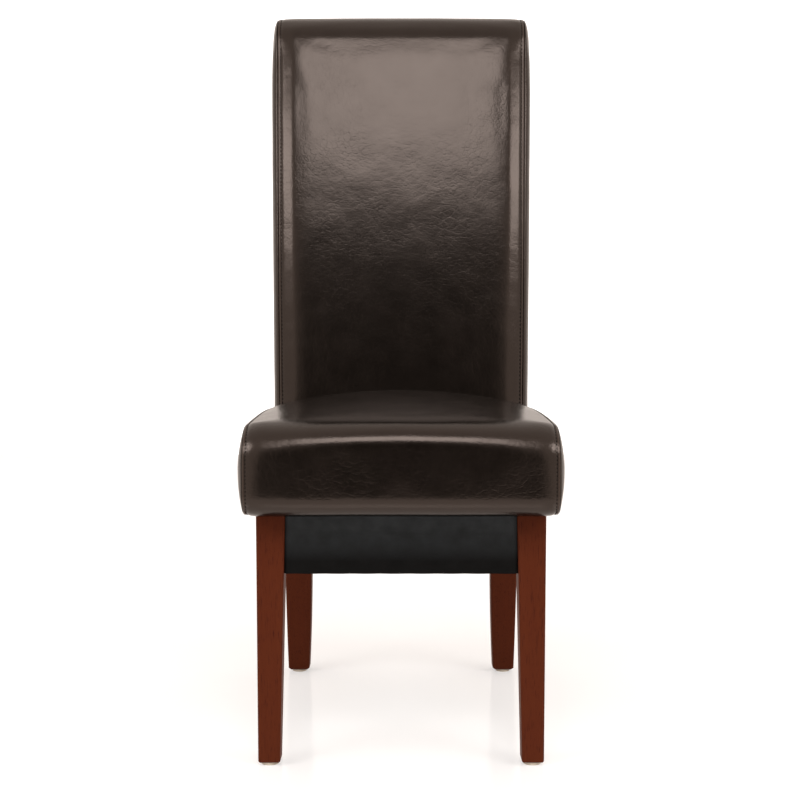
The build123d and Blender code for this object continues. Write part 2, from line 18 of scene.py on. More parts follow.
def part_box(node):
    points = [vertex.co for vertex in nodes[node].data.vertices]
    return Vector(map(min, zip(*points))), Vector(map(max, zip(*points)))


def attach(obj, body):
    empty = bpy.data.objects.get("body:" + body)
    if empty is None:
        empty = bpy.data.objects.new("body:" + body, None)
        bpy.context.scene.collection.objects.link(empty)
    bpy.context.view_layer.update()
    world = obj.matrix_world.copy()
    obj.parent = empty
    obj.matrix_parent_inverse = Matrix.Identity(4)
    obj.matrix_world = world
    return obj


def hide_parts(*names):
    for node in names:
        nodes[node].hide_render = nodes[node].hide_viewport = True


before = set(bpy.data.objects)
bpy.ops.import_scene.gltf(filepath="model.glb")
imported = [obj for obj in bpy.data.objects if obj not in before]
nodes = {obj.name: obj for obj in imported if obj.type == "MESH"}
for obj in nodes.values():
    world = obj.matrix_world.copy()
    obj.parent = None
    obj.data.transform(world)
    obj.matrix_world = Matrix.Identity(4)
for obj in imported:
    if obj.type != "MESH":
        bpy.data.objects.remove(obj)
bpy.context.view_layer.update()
scene = bpy.context.scene
scene.view_settings.view_transform = "Standard"
MM = 0.001

# %% [markdown]
# ## The camera
# The chair was photographed from the front, a little above the seat, with a lens of about 54 mm. The
# camera could be aimed by hand until the outlines agree. Its place here was solved from the corners of
# the legs, seat and back, so everything that follows can be compared with the picture line by line.

# %% Camera
LOOK_DOWN = 3.17
camera = bpy.data.objects.new("camera", bpy.data.cameras.new("camera"))
scene.collection.objects.link(camera)
camera.location = (0, -1.844, 0.584)
camera.rotation_euler = (math.radians(90 - LOOK_DOWN), 0, 0)
camera.data.lens = 54.19
camera.data.sensor_width = 36
camera.data.shift_x = -0.0014
camera.data.shift_y = 0.002
scene.camera = camera
print("camera:", camera.data.lens, "mm at", tuple(camera.location))

# %% [markdown]
# ## Colours and nodes
# Colours are picked as sRGB hex values, as a paint chart gives them, and shaders calculate with linear
# light, so one function converts them. Materials are graphs of nodes. One more function adds a node, sets
# its properties and fills its inputs with numbers or with the outputs of other nodes. The kinds of nodes
# that come up again and again get a short function each, which keeps every material readable from top to
# bottom.

# %% Helpers for materials
def linear(code):
    """Linear RGBA of an sRGB hex colour."""
    parts = [int(code[i : i + 2], 16) / 255 for i in (1, 3, 5)]
    return tuple(c / 12.92 if c <= 0.04045 else ((c + 0.055) / 1.055) ** 2.4 for c in parts) + (1.0,)


def fill_in(node, inputs):
    """Fill a node's inputs with values or with other nodes' outputs."""
    for key, value in inputs.items():
        if isinstance(value, bpy.types.NodeSocket):
            node.id_data.links.new(value, node.inputs[key])
        else:
            node.inputs[key].default_value = value


def add(tree, kind, inputs=None, **settings):
    """Add a node, set its properties, and fill in its inputs."""
    node = tree.nodes.new(kind)
    for name, value in settings.items():
        setattr(node, name, value)
    fill_in(node, inputs or {})
    return node


def reckon(tree, operation, *values):
    """The result of a sum, such as MULTIPLY or MAXIMUM, on values or outputs."""
    return add(tree, "ShaderNodeMath", dict(enumerate(values)), operation=operation).outputs[0]


def remap(tree, value, start=0.0, end=1.0, low=0.0, high=1.0):
    """A value whose stretch from start to end is mapped onto low to high."""
    ends = {"Value": value, "From Min": start, "From Max": end, "To Min": low, "To Max": high}
    return add(tree, "ShaderNodeMapRange", ends).outputs[0]


def blend(tree, share, first, second):
    """A mix of two colours, each of them a hex code or an output."""
    first, second = (linear(c) if isinstance(c, str) else c for c in (first, second))
    return add(tree, "ShaderNodeMix", {0: share, 6: first, 7: second}, data_type="RGBA").outputs[2]


def speckle(tree, place, size, detail, **more):
    """Noise with blotches of a given size in metres."""
    inputs = {"Vector": place, "Scale": 1 / size, "Detail": detail} | more
    return add(tree, "ShaderNodeTexNoise", inputs).outputs["Fac"]


def bump(tree, strength, depth, height, **below):
    """A relief with a depth in millimetres, on another relief if one is given as Normal."""
    inputs = {"Strength": strength, "Distance": depth * MM, "Height": height} | below
    return add(tree, "ShaderNodeBump", inputs).outputs[0]


def new_material(name):
    """A material with its node tree, its shader and the coordinates of the piece it is on."""
    material = bpy.data.materials.new(name)
    material.use_nodes = True
    tree = material.node_tree
    place = add(tree, "ShaderNodeTexCoord").outputs["Object"]
    return material, tree, tree.nodes["Principled BSDF"], place


print("dark brown in linear light:", [round(c, 4) for c in linear("#2a1f1a")])

# %% [markdown]
# ## Leather
# The cover is corrected-grain leather: sanded, pressed with a fine pebble grain, then finished with dark
# brown pigment and a clear glossy coat. The eye gets three things from it: a nearly black brown, mirror-
# like highlights with soft edges, and a faint crackle of creases that breaks those highlights up. A
# photographed texture would show its repeat, so the grain is built from cell and noise patterns that read
# the piece's own coordinates. Real pebbles are about 1 mm and would vanish between the pixels, so they
# are drawn 2.6 mm wide.

# %% Corrected-grain leather
PEBBLE, CREASE, MOTTLE = 2.6 * MM, 10 * MM, 34 * MM
leather, tree, shader, place = new_material("corrected_grain_leather")
wander = add(tree, "ShaderNodeTexNoise", {"Vector": place, "Scale": 1 / CREASE, "Detail": 3.0})
shift = {0: wander.outputs["Color"], 1: (CREASE * 0.9,) * 3, 2: place}
bent = add(tree, "ShaderNodeVectorMath", shift, operation="MULTIPLY_ADD").outputs[0]
cells = {"Vector": bent, "Scale": 1 / CREASE}
crease = add(tree, "ShaderNodeTexVoronoi", cells, feature="DISTANCE_TO_EDGE").outputs["Distance"]
calm = remap(tree, speckle(tree, place, 1.6 * MOTTLE, 1.0), 0.4, 0.6, high=0.75)
flat = reckon(tree, "MAXIMUM", remap(tree, crease, end=0.11), calm)
dots = {"Vector": place, "Scale": 1 / PEBBLE}
pebble = add(tree, "ShaderNodeTexVoronoi", dots, feature="SMOOTH_F1").outputs["Distance"]
mottle = speckle(tree, place, MOTTLE, 4.0, Roughness=0.55)
grain = bump(tree, 0.7, 0.07, pebble)
crackle = bump(tree, 0.8, 0.06, flat, Normal=grain)
uneven = bump(tree, 1.0, 0.45, mottle, Normal=crackle)
# The share of a lighter brown on seam ridges and edges: partly wear, partly a painted highlight where they
# catch the light.
worn_and_highlit = add(tree, "ShaderNodeAttribute", attribute_name="wear_and_highlight").outputs["Fac"]
pigment_and_highlight = blend(tree, worn_and_highlit, blend(tree, mottle, "#050403", "#0b0806"), "#3a2f29")
gloss = remap(tree, mottle, low=0.175, high=0.26)
fill_in(shader, {"Base Color": pigment_and_highlight, "Roughness": gloss, "Normal": uneven, "IOR": 1.5})
fill_in(shader, {"Specular Tint": linear("#ffe8dc")})
print("material:", leather.name, len(tree.nodes), "nodes")

# %% [markdown]
# ## The outline of the seat
# Seen from the side, the seat is a thick slab with a round nose: a straight front, a large round above, a
# smaller round below, a top that climbs a little to the back. It could be cut from a box and bevelled,
# but leather shows its shape in its highlights, so the outline is drawn as two chains of points, an upper
# and a lower one, that start together at the middle of the nose and end together at the rear. The top of
# each chain depends on how far from the middle of the seat it is drawn, and that makes the crown. At the
# rear the seat meets the face of the back, which leans evenly up to a bend and more and more above it.

# %% Chains of the seat
NOSE, NOSE_TOP, SEAT_LOW, SEAT_MIDDLE = -300.0, 470.0, 348.0, 411.0
UNDER_ROUND, UNDER_DROP, REAR_ROUND, HEEL_ROUND = 28.0, 2.2, 8, 6
BEND, BEND_DEPTH, FACE_TOP = 480, 133.0, 1074
LEAN, TOP_LEAN = 2.96, 8.5


def arc(centre, radius, start, end, count):
    """Points of a circle's arc between two angles in degrees."""
    turn = np.radians(np.linspace(start, end, count))
    return np.stack([centre[0] + radius * np.cos(turn), centre[1] + radius * np.sin(turn)], 1)


def run(start, end, count):
    """Points of a straight run, in a number of equal steps."""
    share = np.linspace(0, 1, count + 1)[:, None]
    return np.array(start) + (np.array(end) - np.array(start)) * share


def back_face(height):
    """Depth of the back's face at a height."""
    lean = np.interp(height, [BEND, FACE_TOP], [LEAN, TOP_LEAN])
    middle = (math.radians(LEAN) + math.radians(lean)) / 2
    return BEND_DEPTH + (height - BEND) * math.tan(middle)


def seat_chains(x):
    """Upper and lower chain of the seat at a distance from its middle."""
    nose_round = 30.0 + 17.0 * (x / 180) ** 2
    rear = 494.0 - 23.0 * (x / 200) ** 2
    start_y, end_y = NOSE + nose_round, back_face(rear) - 1.0
    meet = (back_face(SEAT_MIDDLE) - 1, SEAT_MIDDLE)
    steps = np.linspace(0, 1, 46)
    top_y = start_y + (end_y - REAR_ROUND - start_y) * steps
    top = np.stack([top_y, NOSE_TOP + (rear - NOSE_TOP) * steps], 1)
    top[:, 1] += 4.5 * np.sin(np.pi * steps)
    rear_low, nose_low = top[-1, 1] - REAR_ROUND, NOSE_TOP - nose_round
    upper = [
        run((NOSE, SEAT_MIDDLE), (NOSE, nose_low), 4)[:-1],
        arc((start_y, nose_low), nose_round, 180, 90, 13)[:-1],
        top[:-1],
        arc((end_y - REAR_ROUND, rear_low), REAR_ROUND, 90, 0, 5)[:-1],
        run((end_y, rear_low), meet, 8),
    ]
    low_y, low_end, under_nose = NOSE + UNDER_ROUND, back_face(SEAT_LOW) - 1, SEAT_LOW - UNDER_DROP
    lower = [
        run((NOSE, SEAT_MIDDLE), (NOSE, under_nose + UNDER_ROUND), 4)[:-1],
        arc((low_y, under_nose + UNDER_ROUND), UNDER_ROUND, 180, 270, 13)[:-1],
        run((low_y, under_nose), (low_y + 22, under_nose), 3)[:-1],
        run((low_y + 30, SEAT_LOW), (low_end - HEEL_ROUND, SEAT_LOW), 42)[:-1],
        arc((low_end - HEEL_ROUND, SEAT_LOW + HEEL_ROUND), HEEL_ROUND, 270, 360, 5)[:-1],
        run((low_end, SEAT_LOW + HEEL_ROUND), meet, 8),
    ]
    return np.concatenate(upper), np.concatenate(lower)


upper, lower = seat_chains(0.0)
print("seat chains:", len(upper), len(lower), "points, top at", round(upper[:, 1].max(), 1), "mm")

# %% [markdown]
# ## The outline of the back
# The back leans, bends backwards a little above the seat and ends in a roll, which a wooden bar fills.
# Behind the roll a hollow leads into the straight rear face. The two chains start together in the middle
# of the flat lower end, climb the front and the rear, and meet on top of the roll. Where face and roll
# join, the outline is eased backwards by a millimetre or two, so that no edge shows.

# %% Chains of the back
ROLL, ROLL_ROUND, ROLL_STEPS = (246.0, 1066.0), 54.0, 27
ROLL_FACE, ROLL_TOP, ROLL_BEHIND = 171.5, 51.0, -69.0
HOLLOW, HOLLOW_ROUND = (279.7, 978.2), 40.0
REAR_LOW, REAR_HIGH = np.array((194.2, 348.0)), np.array((239.8, 981.1))
BACK_LOW, REAR_PANEL_DEEP = 348.0, 6.0
LOW_STEPS = 6


def back_chains():
    """Front and rear chain of the back, from its lower end to the top of its roll."""
    front_foot = np.array((back_face(BACK_LOW) + 2, BACK_LOW))
    rear_foot = np.array((REAR_LOW[0] - REAR_PANEL_DEEP, BACK_LOW))
    middle = (front_foot + rear_foot) / 2
    heights = np.concatenate(
        [np.linspace(BACK_LOW + 2, BEND, 14)[:-1], np.linspace(BEND, FACE_TOP, 62)[:-1]]
    )
    front = [
        run(middle, front_foot, LOW_STEPS - 1),
        np.array([(back_face(h), h) for h in heights]),
        arc(ROLL, ROLL_ROUND, ROLL_FACE, ROLL_TOP, ROLL_STEPS),
    ]
    rear = [
        run(middle, rear_foot, LOW_STEPS - 1),
        run(REAR_LOW + (REAR_HIGH - REAR_LOW) * 0.01, REAR_HIGH, 64)[:-1],
        arc(HOLLOW, HOLLOW_ROUND, 175.9, 111.0, 11)[:-1],
        arc(ROLL, ROLL_ROUND, ROLL_BEHIND, ROLL_TOP, ROLL_STEPS),
    ]
    front = np.concatenate(front)
    ease = 0.0006 * np.clip(front[:, 1] - 1035, 0, 39) ** 2 + 0.047 * np.clip(front[:, 1] - FACE_TOP, 0, 30)
    turn = np.linspace(ROLL_FACE, ROLL_TOP, ROLL_STEPS)
    ease[-ROLL_STEPS:] *= np.interp(turn, [ROLL_TOP, 140], [0, 1])
    front[:, 0] += ease
    return front, np.concatenate(rear)


front, rear = back_chains()
print("back chains:", len(front), len(rear), "points, top at", round(front[:, 1].max(), 1), "mm")

# %% [markdown]
# ## From chains to a closed cover
# A cover is a stack of rings across the width of the chair, each ring being both chains joined. Quads
# between rings make the skin, and at both ends the last ring is closed onto a chain through its middle,
# its spine. This gives a clean closed mesh whose rows follow the seams, which a remesh would not.

# %% Rings, skins and pieces
def ring_of(first, second):
    """Both chains as one closed ring of points."""
    return np.concatenate([first, second[-2:0:-1]])


def inward(first, second):
    """Unit directions into the body at the points of both chains."""
    ring = ring_of(first, second)
    along = np.roll(ring, -1, 0) - np.roll(ring, 1, 0)
    along /= np.linalg.norm(along, axis=1)[:, None]
    into = np.stack([-along[:, 1], along[:, 0]], 1)
    area = np.sum(ring[:, 0] * np.roll(ring[:, 1], -1) - np.roll(ring[:, 0], -1) * ring[:, 1])
    return into if area > 0 else -into


def at_width(x, chain):
    """A chain of depths and heights as points at a distance from the chair's middle."""
    return np.column_stack([np.full(len(chain), x), chain])


def skin(rings, start_chain, end_chain):
    """Vertices and faces of a closed body: rings of points, closed at each end onto a chain."""
    size, last = len(rings[0]), len(rings) - 1
    half = size // 2
    points = np.concatenate([*rings, start_chain, end_chain])
    faces = []
    for r in range(last):
        for i in range(size):
            a, b = r * size + i, r * size + (i + 1) % size
            faces.append((a, b, b + size, a + size))
    chains = (last + 1) * size
    for base, chain in ((0, chains), (last * size, chains + half + 1)):
        for i in range(half):
            other, after = (size - i) % size, size - i - 1
            faces.append((base + i, base + i + 1, chain + i + 1, chain + i))
            faces.append((base + other, chain + i, chain + i + 1, base + after))
    return points, faces


def new_piece(name, points, faces, material):
    """A mesh object at the origin from points in millimetres, with its faces turned outwards."""
    mesh = bpy.data.meshes.new(name)
    mesh.from_pydata([tuple(p) for p in np.asarray(points) * MM], [], faces)
    sculpt = bmesh.new()
    sculpt.from_mesh(mesh)
    bmesh.ops.recalc_face_normals(sculpt, faces=sculpt.faces)
    sculpt.to_mesh(mesh)
    sculpt.free()
    mesh.polygons.foreach_set("use_smooth", [True] * len(mesh.polygons))
    mesh.materials.append(material)
    piece = bpy.data.objects.new(name, mesh)
    scene.collection.objects.link(piece)
    return piece


print("a ring of the seat has", len(ring_of(upper, lower)), "points")

# %% [markdown]
# ## The edge of a panel
# Where two panels are sewn together, the leather is folded under and stitched a second time on top.
# Towards the seam the panel first rounds off over the foam, dips into the row of stitches, rises to a
# narrow ridge over the folded edge and then drops into the seam. EDGE holds distances from the seam, FOLD
# the depths below the panel there, and each rounding pairs distances from the seam with slopes in
# degrees.

# %% Cross-section at a seam
SEAT_SEAM, BACK_SEAM, BETWEEN = 206.5, 200.5, 38
EDGE = np.array([0, 0.7, 1.4, 2.2, 3.0, 3.8, 4.8, 6.2, 8.8, 12, 16, 21, 25, 30])
FOLD = np.array([0.8, 0.4, 0.05, -0.1, 0.1, 0.65, 1.1, 0.75, 0.08, 0, 0, 0, 0, 0])
RIDGE_AT, STITCH_AT = 3, 6
SEAT_ROUND = ((0, 26), (19, 0))
BACK_ROUND = ((0, 4, 23, 29), (28, 27, 17, 0))


def across(seam):
    """Distances from the middle of a panel at which rings are drawn, close together near the seams."""
    middle = np.linspace(-(seam - EDGE[-1]), seam - EDGE[-1], BETWEEN)
    return np.concatenate([-(seam - EDGE[:-1]), middle, (seam - EDGE[:-1])[::-1]])


def rounding(x, seam, slopes):
    """How far a panel rounds off towards a seam."""
    distances, degrees = slopes
    steps = np.linspace(min(seam - abs(x), distances[-1]), distances[-1], 80)
    slope = np.tan(np.radians(np.interp(steps, distances, degrees)))
    return float(np.mean(slope) * (steps[-1] - steps[0]))


def fold(x, seam):
    """Depth of the stitch groove and the seam below the panel."""
    return float(np.interp(seam - abs(x), EDGE, FOLD))


seat_across, back_across = across(SEAT_SEAM), across(BACK_SEAM)
print("rings across the seat:", len(seat_across), "across the back:", len(back_across))

# %% [markdown]
# ## Swelling the covers
# Foam pushes leather outwards between the seams that hold it. That is a balance of forces, so it is
# simulated: the cover becomes cloth, the rows at the seams are pinned, air pressure stands for the foam,
# and gravity is off. A limit on the movement keeps the cover close to the frame. Afterwards a slow
# unevenness is added, as a hand-stuffed seat has, with short gathers that run from the seams, and one
# subdivision smooths the result.

# %% Cloth simulation and unevenness
FRAMES = 20
WAVE, SMALL_WAVE, GATHER = 0.062, 0.027, 0.017
LEATHER_CLOTH = {
    "quality": 5,
    "mass": 0.35,
    "air_damping": 3.0,
    "tension_stiffness": 30.0,
    "compression_stiffness": 30.0,
    "shear_stiffness": 12.0,
    "bending_stiffness": 6.0,
    "use_pressure": True,
    "vertex_group_mass": "held",
}


def triples(collection, key):
    """Three numbers for each element of a mesh's collection."""
    numbers = np.zeros(len(collection) * 3)
    collection.foreach_get(key, numbers)
    return numbers.reshape(-1, 3)


def vertices_of(piece):
    """A piece's vertices in metres."""
    return triples(piece.data.vertices, "co")


def normals_of(piece):
    """The surface directions at a piece's vertices."""
    return triples(piece.data.vertex_normals, "vector")


def move_to(piece, points):
    """Put a piece's vertices at points in metres."""
    piece.data.vertices.foreach_set("co", points.ravel())
    piece.data.update()


def swell(piece, held, pressure, limit):
    """Inflate a cover as cloth; the held vertices stay, and the others move by less than the
    limit."""
    start = vertices_of(piece)
    piece.vertex_groups.new(name="held").add([int(i) for i in held], 1.0, "REPLACE")
    cloth = piece.modifiers.new("cloth", "CLOTH")
    for key, value in LEATHER_CLOTH.items():
        setattr(cloth.settings, key, value)
    cloth.settings.uniform_pressure_force = pressure
    cloth.settings.effector_weights.gravity = 0.0
    cloth.collision_settings.use_collision = False
    cloth.point_cache.frame_end = FRAMES
    for step in range(1, FRAMES + 1):
        scene.frame_set(step)
    swollen = piece.evaluated_get(bpy.context.evaluated_depsgraph_get())
    end = np.array([v.co for v in swollen.data.vertices])
    piece.modifiers.remove(cloth)
    piece.vertex_groups.clear()
    scene.frame_set(1)
    move = end - start
    length = np.linalg.norm(move, axis=1)[:, None] + 1e-9
    move_to(piece, start + move / length * limit * np.tanh(length / limit))
    print(piece.name, "swells by up to", float(length.max()), "m before the limit")


def unevenness(piece, broad, gather, near_seam):
    """Move vertices along their normals: broad waves all over, short gathers where near_seam is high."""
    points, normals = vertices_of(piece), normals_of(piece)
    waves = [noise.noise(Vector(p) / WAVE) + 0.5 * noise.noise(Vector(p) / SMALL_WAVE) for p in points]
    pulls = [noise.noise(Vector((p[0] * 4, p[1] / GATHER, p[2] / GATHER))) for p in points]
    move = (broad * np.array(waves) + gather * np.array(pulls) * near_seam) * MM
    move_to(piece, points + normals * move[:, None])


def finish_cover(piece, wear_and_highlight, fill, *replaced):
    """Give a cover its wear and painted highlight, one subdivision, and its place on the frame."""
    piece.data.attributes.new("wear_and_highlight", "FLOAT", "POINT").data.foreach_set("value", wear_and_highlight.astype(np.float32))
    smooth = piece.modifiers.new("smooth", "SUBSURF")
    smooth.levels = smooth.render_levels = 1
    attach(piece, "root")
    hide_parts(*replaced)


print("simulation:", "on")

# %% [markdown]
# ## Panels between two seams
# The top of the seat and the front of the back are made the same way from their rings. The rows close to
# the seams are pinned, gathers are strongest 16 mm inside a seam, and the ridge over the folded edge is
# coloured a little lighter, partly as wear and partly as a painted highlight.

# %% Wide panels
SEAM_HELD, GATHER_AT, GATHER_WIDE, RIDGE_WIDE = 9, 16, 14, 1.1


def wide_panel(name, replaced, rings, ends, held, edges, pressure, limit, broad):
    """A swollen panel from its rings, the chains that close it and each ring's distance from its seam."""
    size, closing = len(rings[0]), np.zeros(2 * len(ends[0]))
    piece = new_piece(name, *skin(rings, *ends), leather)
    swell(piece, np.flatnonzero(np.concatenate([*held, closing == 0])), pressure, limit * MM)
    near = [math.exp(-(((e - GATHER_AT) / GATHER_WIDE) ** 2)) if e > 6 else 0.0 for e in edges]
    # Painted highlight and wear: the ridge over the folded edge is coloured lighter.
    wear_and_highlight = [0.55 * math.exp(-(((e - EDGE[RIDGE_AT]) / RIDGE_WIDE) ** 2)) for e in edges]
    unevenness(piece, broad, 0.35, np.concatenate([np.repeat(near, size), closing]))
    finish_cover(piece, np.concatenate([np.repeat(wear_and_highlight, size), closing]), 0.9, *replaced)
    return piece


print("seams are held over", SEAM_HELD, "mm")

# %% [markdown]
# ## The seat's top panel
# One hide covers the top, rolls over the nose and is tacked under the front. It is the piece that carries
# the light, so it gets the closest mesh: 45 steps along the top, 12 round the nose, and rings about 10 mm
# apart between the seams, closer towards them.

# %% Seat top
SPINE_NOSE, SPINE_STRAIGHT, SPINE_REAR = (-268, -246), (-240, 58), (64, 90)


def tightness(ring):
    """How much of the rounding at its seams each point of a seat ring gets, little at the back."""
    at_back = np.clip((ring[:, 0] - 95) / 20, 0, 1) * np.clip((468 - ring[:, 1]) / 16, 0, 1)
    return np.interp(ring[:, 1], [380, 440], [0.6, 1.0]) * (1 - 0.7 * at_back)


seat_rings, seat_held = [], []
for x in seat_across:
    upper, lower = seat_chains(x)
    ring = ring_of(upper, lower)
    depth = rounding(x, SEAT_SEAM, SEAT_ROUND) * tightness(ring) + fold(x, SEAT_SEAM)
    ring = ring + inward(upper, lower) * depth[:, None]
    seat_rings.append(at_width(x, ring))
    # Tacked down are the underside, the rear against the back and the straight front below its round.
    nose_front = (ring[:, 0] < -292) & (ring[:, 1] < 436)
    tacked = (ring[:, 1] < 360) | (ring[:, 0] > 110) | nose_front
    seat_held.append(tacked | (SEAT_SEAM - abs(x) < SEAM_HELD))
nose_end, rear_end = np.linspace(0, 1, 17) ** 2, 1 - np.linspace(1, 0, 10) ** 2
middle_y = [
    SPINE_NOSE[0] + (SPINE_NOSE[1] - SPINE_NOSE[0]) * nose_end,
    np.linspace(*SPINE_STRAIGHT, 47),
    SPINE_REAR[0] + (SPINE_REAR[1] - SPINE_REAR[0]) * rear_end,
]
middle_y = np.concatenate(middle_y)
seat_spine = np.column_stack([middle_y, np.full(len(middle_y), SEAT_MIDDLE)])
seat_top = wide_panel(
    "seat_leather_top",
    ("seat_cover_top", "seat_foam"),
    seat_rings,
    [at_width(x, seat_spine) for x in (seat_across[0], seat_across[-1])],
    seat_held,
    SEAT_SEAM - abs(seat_across),
    pressure=3.0,
    limit=4,
    broad=0.35,
)
print("seat top:", len(seat_top.data.vertices), "vertices")

# %% [markdown]
# ## The seat's side panels
# A flat piece of leather with the outline of the seat is sewn into each side. Foam bulges it, most at mid
# height. Its rings shrink from the seam towards a line along the middle while they move outwards along a
# dome. The left side is drawn and the right side is its mirror image.

# %% Side panels
SHARES = (0.0, 0.012, 0.03, 0.06, 0.1, 0.15, 0.21, 0.28, 0.36, 0.46, 0.57, 0.69, 0.81, 0.91)
UNDER_SEAM, INSIDE_SEAM = 0.7, 1.4


def dome_rings(ring, spine, seam, height, power):
    """Rings that shrink onto a spine while they rise like a dome, and the chains that close them."""
    towards = np.concatenate([spine, spine[-2:0:-1]])
    rings = []
    for share in SHARES:
        rise = (1 - (1 - share) ** 2) ** (power / 2)
        x = seam + height * rise - (UNDER_SEAM if share == 0 else 0.0)
        rings.append(at_width(x, ring + (towards - ring) * share))
    return rings, at_width(seam - INSIDE_SEAM, spine), at_width(seam + height, spine)


def side_panel(name, side, rings, inside, top, *replaced):
    """A domed side panel, swollen and finished, on the left for side 1 and on the right for side -1."""
    mirror = (side, 1, 1)
    piece = new_piece(name, *skin([r * mirror for r in rings], inside * mirror, top * mirror), leather)
    size, total, outside = len(rings[0]), len(piece.data.vertices), len(rings) * len(rings[0])
    held = np.concatenate([np.arange(3 * size), np.arange(outside, outside + len(inside))])
    swell(piece, held, 2.0, 2 * MM)
    near, wear_and_highlight = np.zeros(total), np.zeros(total)
    near[2 * size : 7 * size] = 0.7
    # Painted highlight and wear: a narrow band beside the seam is coloured lighter.
    wear_and_highlight[2 * size : 3 * size] = 0.3
    unevenness(piece, 0.25, 0.3, near)
    finish_cover(piece, wear_and_highlight, 0.8, *replaced)
    return piece


upper, lower = seat_chains(SEAT_SEAM)
seat_rim = ring_of(upper, lower)
rim_depth = rounding(SEAT_SEAM, SEAT_SEAM, SEAT_ROUND) * tightness(seat_rim) + FOLD[0]
seat_rim = seat_rim + inward(upper, lower) * rim_depth[:, None]
seat_dome = dome_rings(seat_rim, seat_spine, SEAT_SEAM, 8.0, 1.6)
seat_left = side_panel("seat_leather_left", 1, *seat_dome, "seat_cover_left")
side_panel("seat_leather_right", -1, *seat_dome, "seat_cover_right")
print("side panels of the seat:", len(seat_left.data.vertices), "vertices each")

# %% [markdown]
# ## The back's front panel
# The same hide runs from behind the seat up the face, round the roll and into the hollow behind it.
# Between the seams it is nearly flat, because a webbed frame lies close behind, and it rounds off within
# the last 30 mm, less where it goes behind the seat and on the roll. Below the hollow its rear side is
# sunk, to make room for the separate rear panel.

# %% Back front
FLARE, FLARE_HEIGHT, FULLER = 0.033, 590, 2.6
LOWEST, HOLLOW_LOW, LOW_END, SPINE_UP, ROLL_SPINE = 349.0, 972, 15, 32, 14


def flared(points):
    """Points of the back, drawn 3.3 % wider and a little fuller at the roll than at the seat."""
    points = np.array(points, float)
    points[:, 0] *= 1 + FLARE * np.clip((points[:, 2] - BEND) / FLARE_HEIGHT, 0, 1)
    points[:, 2] += FULLER * np.clip((points[:, 2] - 1000) / 110, 0, 1)
    return points


back_ring, back_into = ring_of(front, rear), inward(front, rear)
count = len(front)
heights = back_ring[:, 1]
# The share of the rounding at each point: less behind the seat and on the roll, half on the rear side.
tight = np.interp(heights, [430, 485, 1050, 1110], [0.25, 1.0, 1.0, 0.12])
tight[count:] = np.interp(heights[count:], [1050, 1110], [0.5, 0.12])
sink = REAR_PANEL_DEEP * np.clip((HOLLOW_LOW - heights) / 8, 0, 1) * (heights > BACK_LOW + 1)
sink[:count] = 0
back_rings, back_held = [], []
for x in back_across:
    depth = rounding(x, BACK_SEAM, BACK_ROUND) * tight + fold(x, BACK_SEAM) + 1.0 * (x / BACK_SEAM) ** 2
    ring = back_ring + back_into * np.maximum(depth, sink)[:, None]
    ring[:, 1] = np.maximum(ring[:, 1], LOWEST)
    back_rings.append(flared(at_width(x, ring)))
    back_held.append((BACK_SEAM - abs(x) < SEAM_HELD) | (sink > 0.5) | (ring[:, 1] < 400))
middle = (front + rear) / 2
slab = middle.copy()
roll_up = (math.cos(math.radians(ROLL_TOP)), math.sin(math.radians(ROLL_TOP)))
slab[-ROLL_STEPS:] = np.array(ROLL) + np.outer(np.linspace(0, ROLL_SPINE, ROLL_STEPS), roll_up)
spine_low = BACK_LOW + SPINE_UP
slab[:LOW_END, 1] = spine_low + (slab[LOW_END - 1, 1] - spine_low) * np.linspace(0, 1, LOW_END) ** 2
slab[:LOW_END, 0] = np.interp(slab[:LOW_END, 1], middle[LOW_STEPS:60, 1], middle[LOW_STEPS:60, 0])
back_front = wide_panel(
    "back_leather_front",
    ("back_cover_front", "back_foam"),
    back_rings,
    [flared(at_width(x, slab)) for x in (back_across[0], back_across[-1])],
    back_held,
    BACK_SEAM - abs(back_across),
    pressure=0.5,
    limit=0.4,
    broad=0.3,
)
print("back front:", len(back_front.data.vertices), "vertices")

# %% [markdown]
# ## The back's side panels
# They have the outline of the back with its roll, like a question mark that leans, and the same shallow
# dome.

# %% Back sides
RIM_UNDER = 1.3
rim_depth = rounding(BACK_SEAM, BACK_SEAM, BACK_ROUND) * tight + RIM_UNDER
back_rim = back_ring + back_into * rim_depth[:, None]
back_rim[:, 1] = np.maximum(back_rim[:, 1], LOWEST)
dome, dome_inside, dome_top = dome_rings(back_rim, slab, BACK_SEAM, 10.6, 1.1)
back_dome = [flared(r) for r in dome], flared(dome_inside), flared(dome_top)
back_left = side_panel("back_leather_left", 1, *back_dome, "back_cover_left")
side_panel("back_leather_right", -1, *back_dome, "back_cover_right")
print("side panels of the back:", len(back_left.data.vertices), "vertices each")

# %% [markdown]
# ## The rear panel
# A single pad of leather over wadding closes the back behind. It covers the lower edge of its board, and
# its upper edge is tucked into the hollow under the roll.

# %% Back rear
REAR_HALF, REAR_LENGTH, PAD_BELOW = 196.0, 624.3, np.array((0, 0.8))
PAD_ROUND, PAD_HEIGHT, PAD_CROWN, PAD_INSIDE, GROOVE_AT = 9.0, 4.0, 2.6, -0.6, 7
PAD_EDGE = np.array((0, 1.0, 2.6, 5, 8, 12, 18))
rear_up = (REAR_HIGH - REAR_LOW) / np.linalg.norm(REAR_HIGH - REAR_LOW)
rear_out = np.array((rear_up[1], -rear_up[0]))
rows = np.concatenate([PAD_EDGE, np.linspace(26, REAR_LENGTH - 26, 58), REAR_LENGTH - PAD_EDGE[::-1]])
columns = np.concatenate([PAD_EDGE - REAR_HALF, np.linspace(-170, 170, 34), REAR_HALF - PAD_EDGE[::-1]])


def pad_edge(x, up):
    """Distance from the rear pad's edge."""
    return min(REAR_HALF - abs(x), up, REAR_LENGTH - up)


